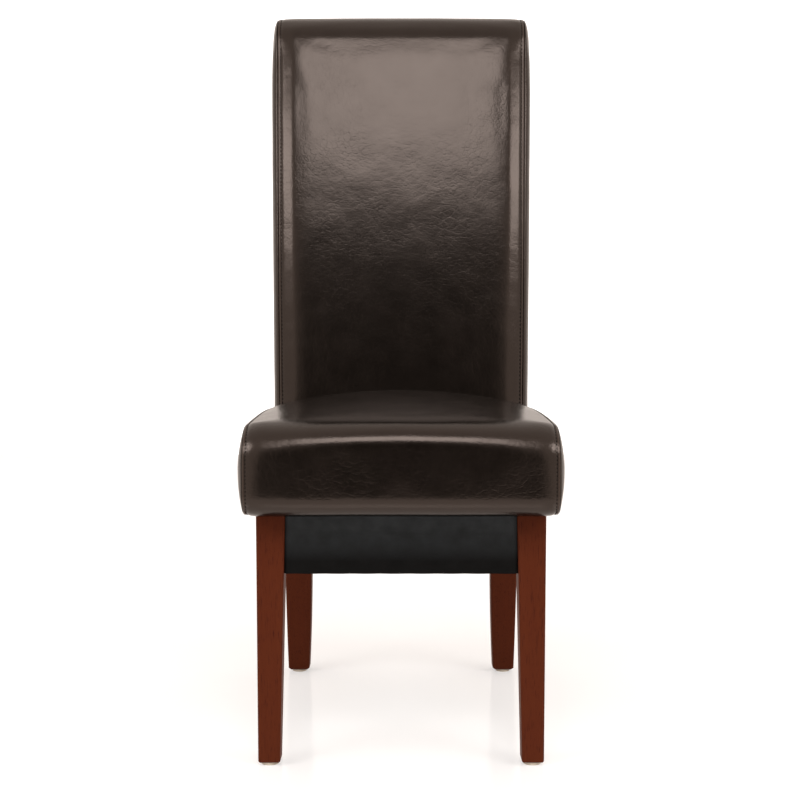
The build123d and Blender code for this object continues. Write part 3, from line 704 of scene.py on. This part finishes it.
def rear_height(x, up):
    """How far the rear pad stands out from its board."""
    inner = pad_edge(x, up)
    rounded = PAD_HEIGHT * math.sqrt(max(0.0, 1 - (1 - min(inner, PAD_ROUND) / PAD_ROUND) ** 2))
    crown = PAD_CROWN * (1 - (x / REAR_HALF) ** 2) * math.sin(math.pi * up / REAR_LENGTH) ** 0.6
    return rounded + crown - 0.7 * math.exp(-(((inner - GROOVE_AT) / 1.2) ** 2))


def on_rear(x, up, height):
    """A point on the rear of the back, at a height above the board."""
    place_at = REAR_LOW - PAD_BELOW + rear_up * up - rear_out * (REAR_PANEL_DEEP - height)
    return (x, place_at[0], place_at[1])


outer = [on_rear(x, up, rear_height(x, up)) for up in rows for x in columns]
inner_face = [on_rear(x, up, PAD_INSIDE) for up in rows for x in columns]
wide, tall = len(columns), len(rows)
under = wide * tall
faces = []
for r in range(tall - 1):
    for c in range(wide - 1):
        a = r * wide + c
        faces.append((a, a + 1, a + 1 + wide, a + wide))
        b = a + under
        faces.append((b, b + wide, b + 1 + wide, b + 1))
border = list(range(wide)) + [r * wide + wide - 1 for r in range(1, tall)]
border += [(tall - 1) * wide + c for c in range(wide - 2, -1, -1)]
border += [r * wide for r in range(tall - 2, 0, -1)]
for a, b in zip(border, border[1:] + border[:1]):
    faces.append((a, a + under, b + under, b))
back_rear = new_piece("back_leather_rear", flared(outer + inner_face), faces, leather)
edge_of = np.array([pad_edge(x, up) for up in rows for x in columns])
swell(back_rear, np.flatnonzero(np.concatenate([edge_of < 10, np.ones(under, bool)])), 1.0, 2 * MM)
near = np.concatenate([np.exp(-(((edge_of - 18) / 12) ** 2)), np.zeros(under)])
unevenness(back_rear, 0.3, 0.3, near)
# Painted highlight and wear: a band 3 mm inside the pad's edge is coloured lighter.
wear_and_highlight = np.concatenate([0.3 * np.exp(-(((edge_of - 3) / 1.5) ** 2)), np.zeros(under)])
finish_cover(back_rear, wear_and_highlight, 0.5, "back_cover_rear", "rear_wadding")
print("rear panel:", len(back_rear.data.vertices), "vertices")

# %% [markdown]
# ## Stitches
# A sewing machine with thick bonded thread makes four to five stitches to the inch here, each a short
# arch that dives into the leather at both ends. Hundreds of equal things along a line are work for
# Geometry Nodes: a path is divided at the stitch pitch, and a small arched tube is placed on each point,
# turned along the path and away from the surface. The same tree sets the staples under the seat later,
# with other sizes.

# %% Bonded thread
TWIST = 0.9 * MM
thread, tree, shader, place = new_material("bonded_polyester_thread")
fibres = speckle(tree, place, TWIST, 2.0)
tone, ply = blend(tree, fibres, "#070504", "#140e0b"), bump(tree, 1.0, 0.08, fibres)
fill_in(shader, {"Base Color": tone, "Normal": ply, "Roughness": 0.8, "Specular IOR Level": 0.15})
print("material:", thread.name)

# %% A tree that sets a row of arches on a path
row_tree = bpy.data.node_groups.new("row_of_arches", "GeometryNodeTree")
kinds = {"Geometry": "NodeSocketGeometry"}
kinds |= dict.fromkeys(("Pitch", "Length", "Thickness", "Rise", "Sunk", "Turn"), "NodeSocketFloat")
kinds |= {"Material": "NodeSocketMaterial"}
sockets = {}
for name, kind in kinds.items():
    sockets[name] = row_tree.interface.new_socket(name=name, in_out="INPUT", socket_type=kind).identifier
row_tree.interface.new_socket(name="Geometry", in_out="OUTPUT", socket_type="NodeSocketGeometry")
given = add(row_tree, "NodeGroupInput").outputs


def made_by(kind, inputs, **settings):
    """Add a node to the row tree, and give its first output."""
    return add(row_tree, kind, inputs, **settings).outputs[0]


path = made_by("GeometryNodeMeshToCurve", {"Mesh": given["Geometry"]})
spacing = {"Curve": path, "Length": given["Pitch"]}
points = add(row_tree, "GeometryNodeCurveToPoints", spacing, mode="LENGTH").outputs
half = reckon(row_tree, "MULTIPLY", given["Length"], 0.5)
minus = reckon(row_tree, "MULTIPLY", half, -1.0)
deep = reckon(row_tree, "MULTIPLY", given["Sunk"], -1.0)
bow = {
    "Resolution": 5,
    "Start": made_by("ShaderNodeCombineXYZ", {"X": minus, "Z": deep}),
    "Middle": made_by("ShaderNodeCombineXYZ", {"Z": given["Rise"]}),
    "End": made_by("ShaderNodeCombineXYZ", {"X": half, "Z": deep}),
}
arch = made_by("GeometryNodeCurveQuadraticBezier", bow)
circle = {"Resolution": 6, "Radius": reckon(row_tree, "MULTIPLY", given["Thickness"], 0.5)}
profile = made_by("GeometryNodeCurvePrimitiveCircle", circle, mode="RADIUS")
wire = {"Curve": arch, "Profile Curve": profile, "Fill Caps": True}
tube = made_by("GeometryNodeCurveToMesh", wire)
turn = made_by("ShaderNodeCombineXYZ", {"Z": given["Turn"]})
turned = made_by("GeometryNodeTransform", {"Geometry": tube, "Rotation": turn})
along = made_by("FunctionNodeAlignRotationToVector", {"Vector": points["Tangent"]}, axis="X")
up = made_by("GeometryNodeInputNamedAttribute", {"Name": "up"}, data_type="FLOAT_VECTOR")
raised = {"Rotation": along, "Vector": up}
upright = made_by("FunctionNodeAlignRotationToVector", raised, axis="Z", pivot_axis="X")
spots = {"Points": points["Points"], "Instance": turned, "Rotation": upright}
placed = made_by("GeometryNodeInstanceOnPoints", spots)
real = made_by("GeometryNodeRealizeInstances", {"Geometry": placed})
painted = made_by("GeometryNodeSetMaterial", {"Geometry": real, "Material": given["Material"]})
rounded = made_by("GeometryNodeSetShadeSmooth", {"Geometry": painted})
add(row_tree, "NodeGroupOutput", {"Geometry": rounded})
print("row tree:", len(row_tree.nodes), "nodes")

# %% Rows along paths
def row_of_arches(name, paths, material, slot, **sizes):
    """Arches of given sizes along paths of points and surface directions, as one plain mesh."""
    points, ups, edges = [], [], []
    for line in paths:
        start = len(points)
        points += [tuple(p) for p, _ in line]
        ups += [n for _, n in line]
        edges += [(start + i, start + i + 1) for i in range(len(line) - 1)]
    mesh = bpy.data.meshes.new(name + "_path")
    mesh.from_pydata(points, edges, [])
    up_data = mesh.attributes.new("up", "FLOAT_VECTOR", "POINT").data
    up_data.foreach_set("vector", np.array(ups, float).ravel())
    piece = bpy.data.objects.new(name, mesh)
    scene.collection.objects.link(piece)
    rows_modifier = piece.modifiers.new("row", "NODES")
    rows_modifier.node_group = row_tree
    for key, value in sizes.items():
        rows_modifier[sockets[key]] = value
    rows_modifier[sockets["Material"]] = material
    piece.update_tag()
    evaluated = piece.evaluated_get(bpy.context.evaluated_depsgraph_get())
    plain = bpy.data.meshes.new_from_object(evaluated)
    piece.modifiers.remove(rows_modifier)
    piece.data = plain
    plain.name = name
    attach(piece, "root")
    return piece


def surface_of(piece):
    """A search tree of a piece's finished surface."""
    evaluated = piece.evaluated_get(bpy.context.evaluated_depsgraph_get())
    mesh = evaluated.to_mesh()
    corners = [v.co.copy() for v in mesh.vertices]
    found = BVHTree.FromPolygons(corners, [list(p.vertices) for p in mesh.polygons])
    evaluated.to_mesh_clear()
    return found


def on_surface(surface, line, lift):
    """A line of points laid onto a surface, as points and surface directions."""
    laid = []
    for p in line:
        spot, direction, _, _ = surface.find_nearest(Vector(p))
        laid.append((spot + direction * lift, direction))
    return laid


print("rows are set on paths that lie on the finished covers")

# %% Stitches of seat and back
STITCH_LIFT = -0.1 * MM
SEAT_ROW_TOP, SEAT_ROW_UNDER, BACK_ROW_BEHIND = 60, 18, 34
SEWING = {"Pitch": 5.1 * MM, "Length": 3.2 * MM, "Thickness": 1.3 * MM}
SEWING |= {"Rise": 1.6 * MM, "Sunk": 0.9 * MM, "Turn": 0.0}
BACK_SEWING = SEWING | {"Pitch": 6.4 * MM, "Length": 4.0 * MM, "Thickness": 1.6 * MM}


def stitch_lines(piece, size, stations, start, end):
    """The stitch rows of a panel at both seams, laid on its surface."""
    points, surface = vertices_of(piece), surface_of(piece)
    lines = []
    for ring in (STITCH_AT, stations - 1 - STITCH_AT):
        lines.append(on_surface(surface, points[ring * size + start : ring * size + end], STITCH_LIFT))
    return lines


seat_size = len(seat_rings[0])
top_lines = stitch_lines(seat_top, seat_size, len(seat_across), 0, SEAT_ROW_TOP)
low_lines = stitch_lines(seat_top, seat_size, len(seat_across), seat_size - SEAT_ROW_UNDER, seat_size)
seat_paths = [low + top for top, low in zip(top_lines, low_lines)]
seat_stitches = row_of_arches("seat_stitches", seat_paths, thread, "leather", **SEWING)
row_end = count + BACK_ROW_BEHIND
back_paths = stitch_lines(back_front, len(back_ring), len(back_across), LOW_STEPS + 2, row_end)
back_stitches = row_of_arches("back_stitches", back_paths, thread, "leather", **BACK_SEWING)
row_x, row_top = REAR_HALF - GROOVE_AT, REAR_LENGTH - GROOVE_AT
rear_line = [(-row_x, 4), (-row_x, row_top), (row_x, row_top), (row_x, 4)]
rear_points = []
for (xa, ua), (xb, ub) in zip(rear_line, rear_line[1:]):
    for share in np.linspace(0, 1, 60)[:-1]:
        x, up_at = xa + (xb - xa) * share, ua + (ub - ua) * share
        rear_points.append(flared([on_rear(x, up_at, rear_height(x, up_at))])[0] * MM)
rear_path = on_surface(surface_of(back_rear), rear_points, STITCH_LIFT)
rear_stitches = row_of_arches("rear_panel_stitches", [rear_path], thread, "leather", **SEWING)
for piece in (seat_stitches, back_stitches, rear_stitches):
    print(piece.name, len(piece.data.polygons), "faces")

# %% [markdown]
# ## Black lining cloth
# The box under the seat is covered with black lining cloth, pulled over each rail and folded in
# underneath. It is a plain weave of dull threads with a little sheen, and its pull leaves soft horizontal
# rolls. A painted shade darkens the cloth from the leather down to its lower edge. Threads of 0.4 mm
# would not show, so the weave is drawn at 1.4 mm.

# %% Woven lining
THREAD, DUST_SPOT = 1.4 * MM, 22 * MM
# Heights in metres over which the painted shade runs from dark below to light above.
PAINTED_SHADE_FROM, PAINTED_SHADE_TO = 0.28, 0.352


def weave_of(tree, place, strand, second, **more):
    """Threads of a width that cross each other, along X and along a second direction."""
    inputs = {"Vector": place, "Scale": math.pi / 10 / strand} | more
    warp = add(tree, "ShaderNodeTexWave", inputs, bands_direction="X").outputs["Fac"]
    weft = add(tree, "ShaderNodeTexWave", inputs, bands_direction=second).outputs["Fac"]
    return reckon(tree, "MULTIPLY", warp, weft)


lining, tree, shader, place = new_material("black_woven_lining")
weave = weave_of(tree, place, THREAD, "Z", Distortion=0.6, Detail=1.0)
dust = remap(tree, speckle(tree, place, DUST_SPOT, 3.0), 0.35, 0.8, high=0.5)
height = add(tree, "ShaderNodeSeparateXYZ", {"Vector": place}).outputs["Z"]
# Painted shade: the cloth is coloured lighter up by the leather and darker lower down.
dye_with_painted_shade = blend(tree, remap(tree, height, PAINTED_SHADE_FROM, PAINTED_SHADE_TO), "#060606", "#424649")
ink, threads = blend(tree, dust, dye_with_painted_shade, "#121212"), bump(tree, 0.5, 0.12, weave)
fill_in(shader, {"Base Color": ink, "Normal": threads, "Roughness": 0.62, "Specular IOR Level": 0.08})
print("material:", lining.name)

# %% Cloth on the rails
CLOTH, TUCKED_UP, HEM, HEM_LONG = 0.8, 0.6, 2, 3.2
ROLL_DEEP, ROLLS, RIPPLE, NARROWED = 0.62, 3.05, 0.12, 2.2


def thicken(piece, thickness):
    """Give a cloth its thickness, inwards from its outer face."""
    solid = piece.modifiers.new("thickness", "SOLIDIFY")
    solid.thickness = thickness * MM
    solid.offset = -1.0


def rail_cloth(name, node, flip):
    """Cloth over one rail: from the leather down its face and in underneath, with three soft rolls."""
    low, high = (np.array(corner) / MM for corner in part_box(node))
    high[2] = SEAT_LOW - TUCKED_UP
    size = high - low
    lengthwise = 0 if size[0] > size[1] else 1
    crosswise = 1 - lengthwise
    face = low if flip < 0 else high
    tall, deep, long = size[2], size[crosswise], size[lengthwise]
    steps = [
        np.linspace(0, tall - HEM, 30),
        tall - HEM + np.linspace(0.8, HEM_LONG, 5),
        tall + 1 + np.linspace(4, deep - 1, 6),
    ]
    steps = np.concatenate(steps)
    spots = np.linspace(0, long, 48)
    outer_points = []
    for along_rail in spots:
        ease = math.sin(math.pi * along_rail / long) ** 0.4
        for step in steps:
            fall = min(step, tall - CLOTH)
            roll = ROLL_DEEP * abs(math.sin(math.pi * (fall / tall * ROLLS) ** 0.92)) * ease
            ripple = RIPPLE * noise.noise(Vector((along_rail / 26, step / 9, low[0] / 50)))
            narrow = NARROWED * fall / tall
            point = np.zeros(3)
            point[lengthwise] = low[lengthwise] - narrow + along_rail * (1 + 2 * narrow / long)
            if step <= tall - HEM:
                point[crosswise] = face[crosswise] + flip * (roll + ripple)
                point[2] = high[2] - step
            else:
                turn = min(1.0, (step - tall + HEM) / HEM_LONG) * math.pi / 2
                slide = max(0.0, step - tall - 1.2)
                point[crosswise] = face[crosswise] - flip * (HEM * (1 - math.cos(turn)) + slide)
                point[2] = low[2] + HEM * (1 - math.sin(turn)) - 0.1 * ripple
            outer_points.append(point)
    wide = len(steps)
    quads = [
        (c * wide + r, c * wide + r + 1, (c + 1) * wide + r + 1, (c + 1) * wide + r)
        for c in range(len(spots) - 1)
        for r in range(wide - 1)
    ]
    piece = new_piece(name, outer_points, quads, lining)
    middle_of_face = wide * (len(spots) // 2) + 10
    if normals_of(piece)[middle_of_face, crosswise] * flip < 0:
        piece.data.flip_normals()
    thicken(piece, CLOTH)
    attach(piece, "root")
    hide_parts(node)
    return piece


aprons = [
    rail_cloth("front_apron_cloth", "front_cloth", -1),
    rail_cloth("rear_apron_cloth", "rear_cloth", 1),
    rail_cloth("left_apron_cloth", "side_cloth_left", 1),
    rail_cloth("right_apron_cloth", "side_cloth_right", -1),
]
print("aprons:", [len(a.data.vertices) for a in aprons])

# %% [markdown]
# ## The dust cover
# Under the seat a sheet of the same cloth hides the webbing. It is cut out round the legs, sags a little
# in the middle and is stapled along its edge, where it puckers between the staples.

# %% Dust cover
CLEAR, DUST_CELL, DUST_CLOTH = 0.3, 8, 0.6
SAG, PUCKER, SLOW_RIPPLE, STAPLE_PITCH = 2.2, 0.35, 0.25, 38
dust_low, dust_high = (np.array(corner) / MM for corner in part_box("dust_cover"))
front_leg_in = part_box("front_leg_left")[0].x / MM - CLEAR
rear_leg_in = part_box("rear_rail")[1].x / MM - CLEAR
front_leg_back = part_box("front_leg_left")[1].y / MM + CLEAR
rear_leg_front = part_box("side_rail_left")[1].y / MM - CLEAR


def grid_between(*cuts):
    """Grid lines about 8 mm apart that include every cut."""
    cuts = sorted(set(cuts))
    parts = []
    for a, b in zip(cuts, cuts[1:]):
        parts.append(np.linspace(a, b, max(2, int((b - a) / DUST_CELL) + 1))[:-1])
    return np.concatenate([*parts, cuts[-1:]])


leg_cuts = (-front_leg_in, front_leg_in, -rear_leg_in, rear_leg_in)
grid_x = grid_between(*leg_cuts, dust_low[0], dust_high[0])
grid_y = grid_between(front_leg_back, rear_leg_front, dust_low[1], dust_high[1])
sheet_points = []
for y in grid_y:
    for x in grid_x:
        rim = min(x - dust_low[0], dust_high[0] - x, y - dust_low[1], dust_high[1] - y)
        sag = SAG * min(1.0, rim / 90) ** 0.7
        pucker = PUCKER * math.exp(-rim / 9) * math.sin((x + y) / STAPLE_PITCH * math.pi)
        ripple = SLOW_RIPPLE * noise.noise(Vector((x / 70, y / 70, 0.3))) * min(1.0, rim / 40)
        sheet_points.append((x, y, dust_high[2] - 0.1 - sag - abs(pucker) - ripple))
quads = []
for r in range(len(grid_y) - 1):
    for c in range(len(grid_x) - 1):
        mid_x, mid_y = abs(grid_x[c] + grid_x[c + 1]) / 2, (grid_y[r] + grid_y[r + 1]) / 2
        at_front_leg = mid_x > front_leg_in and mid_y < front_leg_back
        at_rear_leg = mid_x > rear_leg_in and mid_y > rear_leg_front
        if not at_front_leg and not at_rear_leg:
            a = r * len(grid_x) + c
            quads.append((a, a + len(grid_x), a + len(grid_x) + 1, a + 1))
used = sorted({i for q in quads for i in q})
renumber = {old: new for new, old in enumerate(used)}
quads = [tuple(renumber[i] for i in q) for q in quads]
dust_cover = new_piece("underside_cloth", [sheet_points[i] for i in used], quads, lining)
if dust_cover.data.polygons[0].normal.z > 0:
    dust_cover.data.flip_normals()
thicken(dust_cover, DUST_CLOTH)
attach(dust_cover, "root")
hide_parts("dust_cover")
print("dust cover:", len(quads), "quads")

# %% [markdown]
# ## Wood, plastic and the pieces inside
# The legs are beech stained to a mahogany red-brown under satin lacquer: long fine fibres, short dark
# pores, a soft shine. Inside are bare beech rails and blocks, a sheet of hardboard, woven webbing and
# zinc-plated steel, and pale plastic glides are nailed under the feet. They keep their CAD shape, which
# is already right, and get real finishes.

# %% Stained beech
FIBRE, FIBRE_LONG, PORE, PORE_LONG, CLOUD = 5.0 * MM, 140 * MM, 1.1 * MM, 16 * MM, 60 * MM


def drawn_out(tree, place, *sizes):
    """Coordinates that stretch a pattern of size 1 to other sizes along X, Y and Z."""
    scale = tuple(1 / size for size in sizes)
    return add(tree, "ShaderNodeMapping", {"Vector": place, "Scale": scale}).outputs[0]


mahogany, tree, shader, place = new_material("mahogany_stained_beech")
fibre = speckle(tree, drawn_out(tree, place, FIBRE, FIBRE, FIBRE_LONG), 1.0, 5.0, Distortion=0.4)
pores = speckle(tree, drawn_out(tree, place, PORE, PORE, PORE_LONG), 1.0, 2.0)
stain = blend(tree, fibre, "#481a0a", "#5a2814")
stain = blend(tree, speckle(tree, place, CLOUD, 2.0), stain, "#532410")
stain = blend(tree, remap(tree, pores, 0.58, 0.72), stain, "#3a1409")
satin, relief = remap(tree, fibre, low=0.48, high=0.60), bump(tree, 0.4, 0.06, pores)
fill_in(shader, {"Base Color": stain, "Roughness": satin, "Normal": relief, "Specular IOR Level": 0.08})
print("material:", mahogany.name)

# %% Bare beech and hardboard
SAWN, SAWN_LONG, CHIP = 4 * MM, 90 * MM, 3 * MM
beech, tree, shader, place = new_material("bare_beech")
fibre = speckle(tree, drawn_out(tree, place, SAWN_LONG, SAWN, SAWN), 1.0, 6.0)
plank, sawn = blend(tree, fibre, "#b98f5e", "#dcbb8a"), bump(tree, 0.4, 0.15, fibre)
fill_in(shader, {"Base Color": plank, "Normal": sawn, "Roughness": 0.65})

hardboard, tree, shader, place = new_material("pressed_hardboard")
chips = speckle(tree, place, CHIP, 5.0)
pulp, pressed = blend(tree, chips, "#5a3d25", "#8a6644"), bump(tree, 0.3, 0.1, chips)
fill_in(shader, {"Base Color": pulp, "Normal": pressed, "Roughness": 0.5})
print("materials:", beech.name, hardboard.name)

# %% Webbing, steel and glide plastic
STRAND, SPANGLE, MILK = 2.2 * MM, 2 * MM, 5 * MM
webbing, tree, shader, place = new_material("woven_elastic_webbing")
checks = weave_of(tree, place, STRAND, "Y")
strands, knit = blend(tree, checks, "#2b2a28", "#6a655c"), bump(tree, 0.6, 0.3, checks)
fill_in(shader, {"Base Color": strands, "Normal": knit, "Roughness": 0.8})

steel, tree, shader, place = new_material("zinc_plated_steel")
spangle = speckle(tree, place, SPANGLE, 3.0)
zinc, dull = blend(tree, spangle, "#9a9c9e", "#c4c6c8"), remap(tree, spangle, low=0.25, high=0.42)
fill_in(shader, {"Base Color": zinc, "Roughness": dull, "Metallic": 1.0})

glide, tree, shader, place = new_material("moulded_polyethylene")
cloud = speckle(tree, place, MILK, 3.0)
milky, scuffs = blend(tree, cloud, "#c9bfae", "#ded6c8"), bump(tree, 0.3, 0.1, cloud)
fill_in(shader, {"Base Color": milky, "Normal": scuffs, "Roughness": 0.45})
print("materials:", webbing.name, steel.name, glide.name)

# %% Finishes for the nodes that keep their CAD shape
INSIDE_WOOD = ("_rail", "corner_block", "dowels")
finishes = {
    mahogany: ["front_leg_left", "front_leg_right", "rear_leg_left", "rear_leg_right"],
    beech: [n for n in nodes if any(word in n for word in INSIDE_WOOD)],
    hardboard: ["rear_board"],
    webbing: [n for n in nodes if "webbing" in n],
    steel: ["bolt_washers", "leg_bolts", "block_screws", "glide_nails"],
    glide: ["foot_glides"],
}
for material, names in finishes.items():
    for name in names:
        nodes[name].data.materials.clear()
        nodes[name].data.materials.append(material)
    print(material.name, "on", len(names), "nodes")

# %% [markdown]
# ## Staples
# The dust cover is held by wire staples, 10 mm wide, about every 38 mm. They are a row of flat arches on
# a path that runs 6 mm inside its edge, set by the same tree as the stitches.

# %% Staples
EDGE_IN, CORNER_IN, PATH_POINTS = 6, 8, 60
front_run = np.linspace(-front_leg_in + CORNER_IN, front_leg_in - CORNER_IN, PATH_POINTS)
rear_run = np.linspace(-rear_leg_in + CORNER_IN, rear_leg_in - CORNER_IN, PATH_POINTS)
side_run = np.linspace(front_leg_back + CORNER_IN, rear_leg_front - CORNER_IN, PATH_POINTS)
edge_lines = [
    [(x, dust_low[1] + EDGE_IN) for x in front_run],
    [(x, dust_high[1] - EDGE_IN) for x in rear_run],
    [(dust_low[0] + EDGE_IN, y) for y in side_run],
    [(dust_high[0] - EDGE_IN, y) for y in side_run],
]
underside = surface_of(dust_cover)
below = (dust_low[2] - 6) * MM
staple_paths = [
    on_surface(underside, [(x * MM, y * MM, below) for x, y in line], 0.1 * MM) for line in edge_lines
]
STAPLE = {"Pitch": STAPLE_PITCH * MM, "Length": 10 * MM, "Thickness": 1.0 * MM}
STAPLE |= {"Rise": 0.5 * MM, "Sunk": 0.4 * MM, "Turn": 0.25}
staples = row_of_arches("staples", staple_paths, steel, "steel", **STAPLE)
print("staples:", len(staples.data.polygons), "faces")

# %% [markdown]
# ## The studio
# The chair stood on white paper that runs up behind it. One softbox in front, above the camera, gives the
# broad reflection on the back, two at the sides give the bright strips along its seams, and the front of
# the room is dark, which is why glossy leather looks nearly black from the front. The paper glows by
# itself for the camera and in reflections. Close to the chair the floor glows less, so that the chair's
# shadow shows on it.

# %% White paper
WARM_WHITE, PURE_WHITE, NEAR_Y, FAR_Y = "#fff0e5", "#ffffff", 0.4, 1.3


def paper(name, corners, seen_at, mirrored_at, polish):
    """A sheet of the studio: its corners, its glow to the eye near and far, in reflections, its polish."""
    mesh = bpy.data.meshes.new(name)
    mesh.from_pydata(corners, [], [(0, 1, 2, 3)])
    piece = bpy.data.objects.new(name, mesh)
    scene.collection.objects.link(piece)
    material, tree, shader, place = new_material("white_paper_" + name)
    tree.nodes.remove(shader)
    mesh.materials.append(material)
    rays = add(tree, "ShaderNodeLightPath").outputs
    bounced = reckon(tree, "MAXIMUM", rays["Is Glossy Ray"], rays["Is Transmission Ray"])
    bounced = reckon(tree, "MULTIPLY", bounced, mirrored_at)
    depth = add(tree, "ShaderNodeSeparateXYZ", {"Vector": place}).outputs["Y"]
    seen = remap(tree, depth, NEAR_Y, FAR_Y, *seen_at)
    glow = reckon(tree, "MULTIPLY_ADD", rays["Is Camera Ray"], seen, bounced)
    hue = blend(tree, rays["Is Camera Ray"], WARM_WHITE, PURE_WHITE)
    lit = add(tree, "ShaderNodeEmission", {"Color": hue, "Strength": glow}).outputs[0]
    matt = add(tree, "ShaderNodeBsdfDiffuse", {"Color": linear("#d0d0d0")}).outputs[0]
    both = add(tree, "ShaderNodeAddShader", {0: lit, 1: matt}).outputs[0]
    shine = add(tree, "ShaderNodeBsdfGlossy", {"Roughness": 0.12}).outputs[0]
    surface = add(tree, "ShaderNodeMixShader", {0: polish, 1: both, 2: shine}).outputs[0]
    fill_in(tree.nodes["Material Output"], {"Surface": surface})
    return piece


floor = paper("floor", [(-6, -1.9, 0), (6, -1.9, 0), (6, 4, 0), (-6, 4, 0)], (0.5, 0.66), 0.62, 0.12)
backdrop = paper("backdrop", [(-6, 4, 0), (6, 4, 0), (6, 4, 7), (-6, 4, 7)], (1.0, 1.0), 0.5, 0.0)
print("paper:", floor.name, backdrop.name)

# %% Room and softboxes
SIDES_FROM, SIDES_FULL, SIDES_GLOW = math.radians(5), math.radians(21), 1.05
world = bpy.data.worlds.new("studio")
scene.world = world
world.use_nodes = True
tree = world.node_tree
camera_ray = add(tree, "ShaderNodeLightPath").outputs["Is Camera Ray"]
looking = add(tree, "ShaderNodeTexCoord").outputs["Generated"]
direction = add(tree, "ShaderNodeSeparateXYZ", {"Vector": looking}).outputs
ceiling = remap(tree, direction["Z"], 0.2, 0.8, 0.02, 0.85)
forward = reckon(tree, "MULTIPLY", direction["Y"], -1.0)
swing = reckon(tree, "ABSOLUTE", reckon(tree, "ARCTAN2", direction["X"], forward))
sides = remap(tree, swing, SIDES_FROM, SIDES_FULL, high=SIDES_GLOW)
behind = remap(tree, direction["Y"], -0.2, 0.3, high=0.65)
level = ceiling
for other in (behind, sides, camera_ray):
    level = reckon(tree, "MAXIMUM", level, other)
hue = blend(tree, camera_ray, WARM_WHITE, PURE_WHITE)
fill_in(tree.nodes["Background"], {"Color": hue, "Strength": level})


def softbox(name, place_at, target, width, height, glow_at):
    """A soft rectangular lamp that faces a point and has a given brightness over its area."""
    lamp = bpy.data.lights.new(name, "AREA")
    lamp.shape = "RECTANGLE"
    lamp.size, lamp.size_y = width, height
    lamp.energy = glow_at * math.pi * width * height
    box = bpy.data.objects.new(name, lamp)
    box.location = place_at
    box.rotation_euler = (Vector(target) - Vector(place_at)).to_track_quat("-Z", "Y").to_euler()
    box.visible_camera = False
    scene.collection.objects.link(box)
    return box


softbox("front_softbox", (0, -2.17, 2.25), (0, 0.23, 0.9), 1.2, 1.09, 6.7)
for side in (-1, 1):
    softbox("side_softbox", (side * 1.6, -1.1, 1.5), (0, 0.15, 0.9), 1.0, 0.55, 6.4)
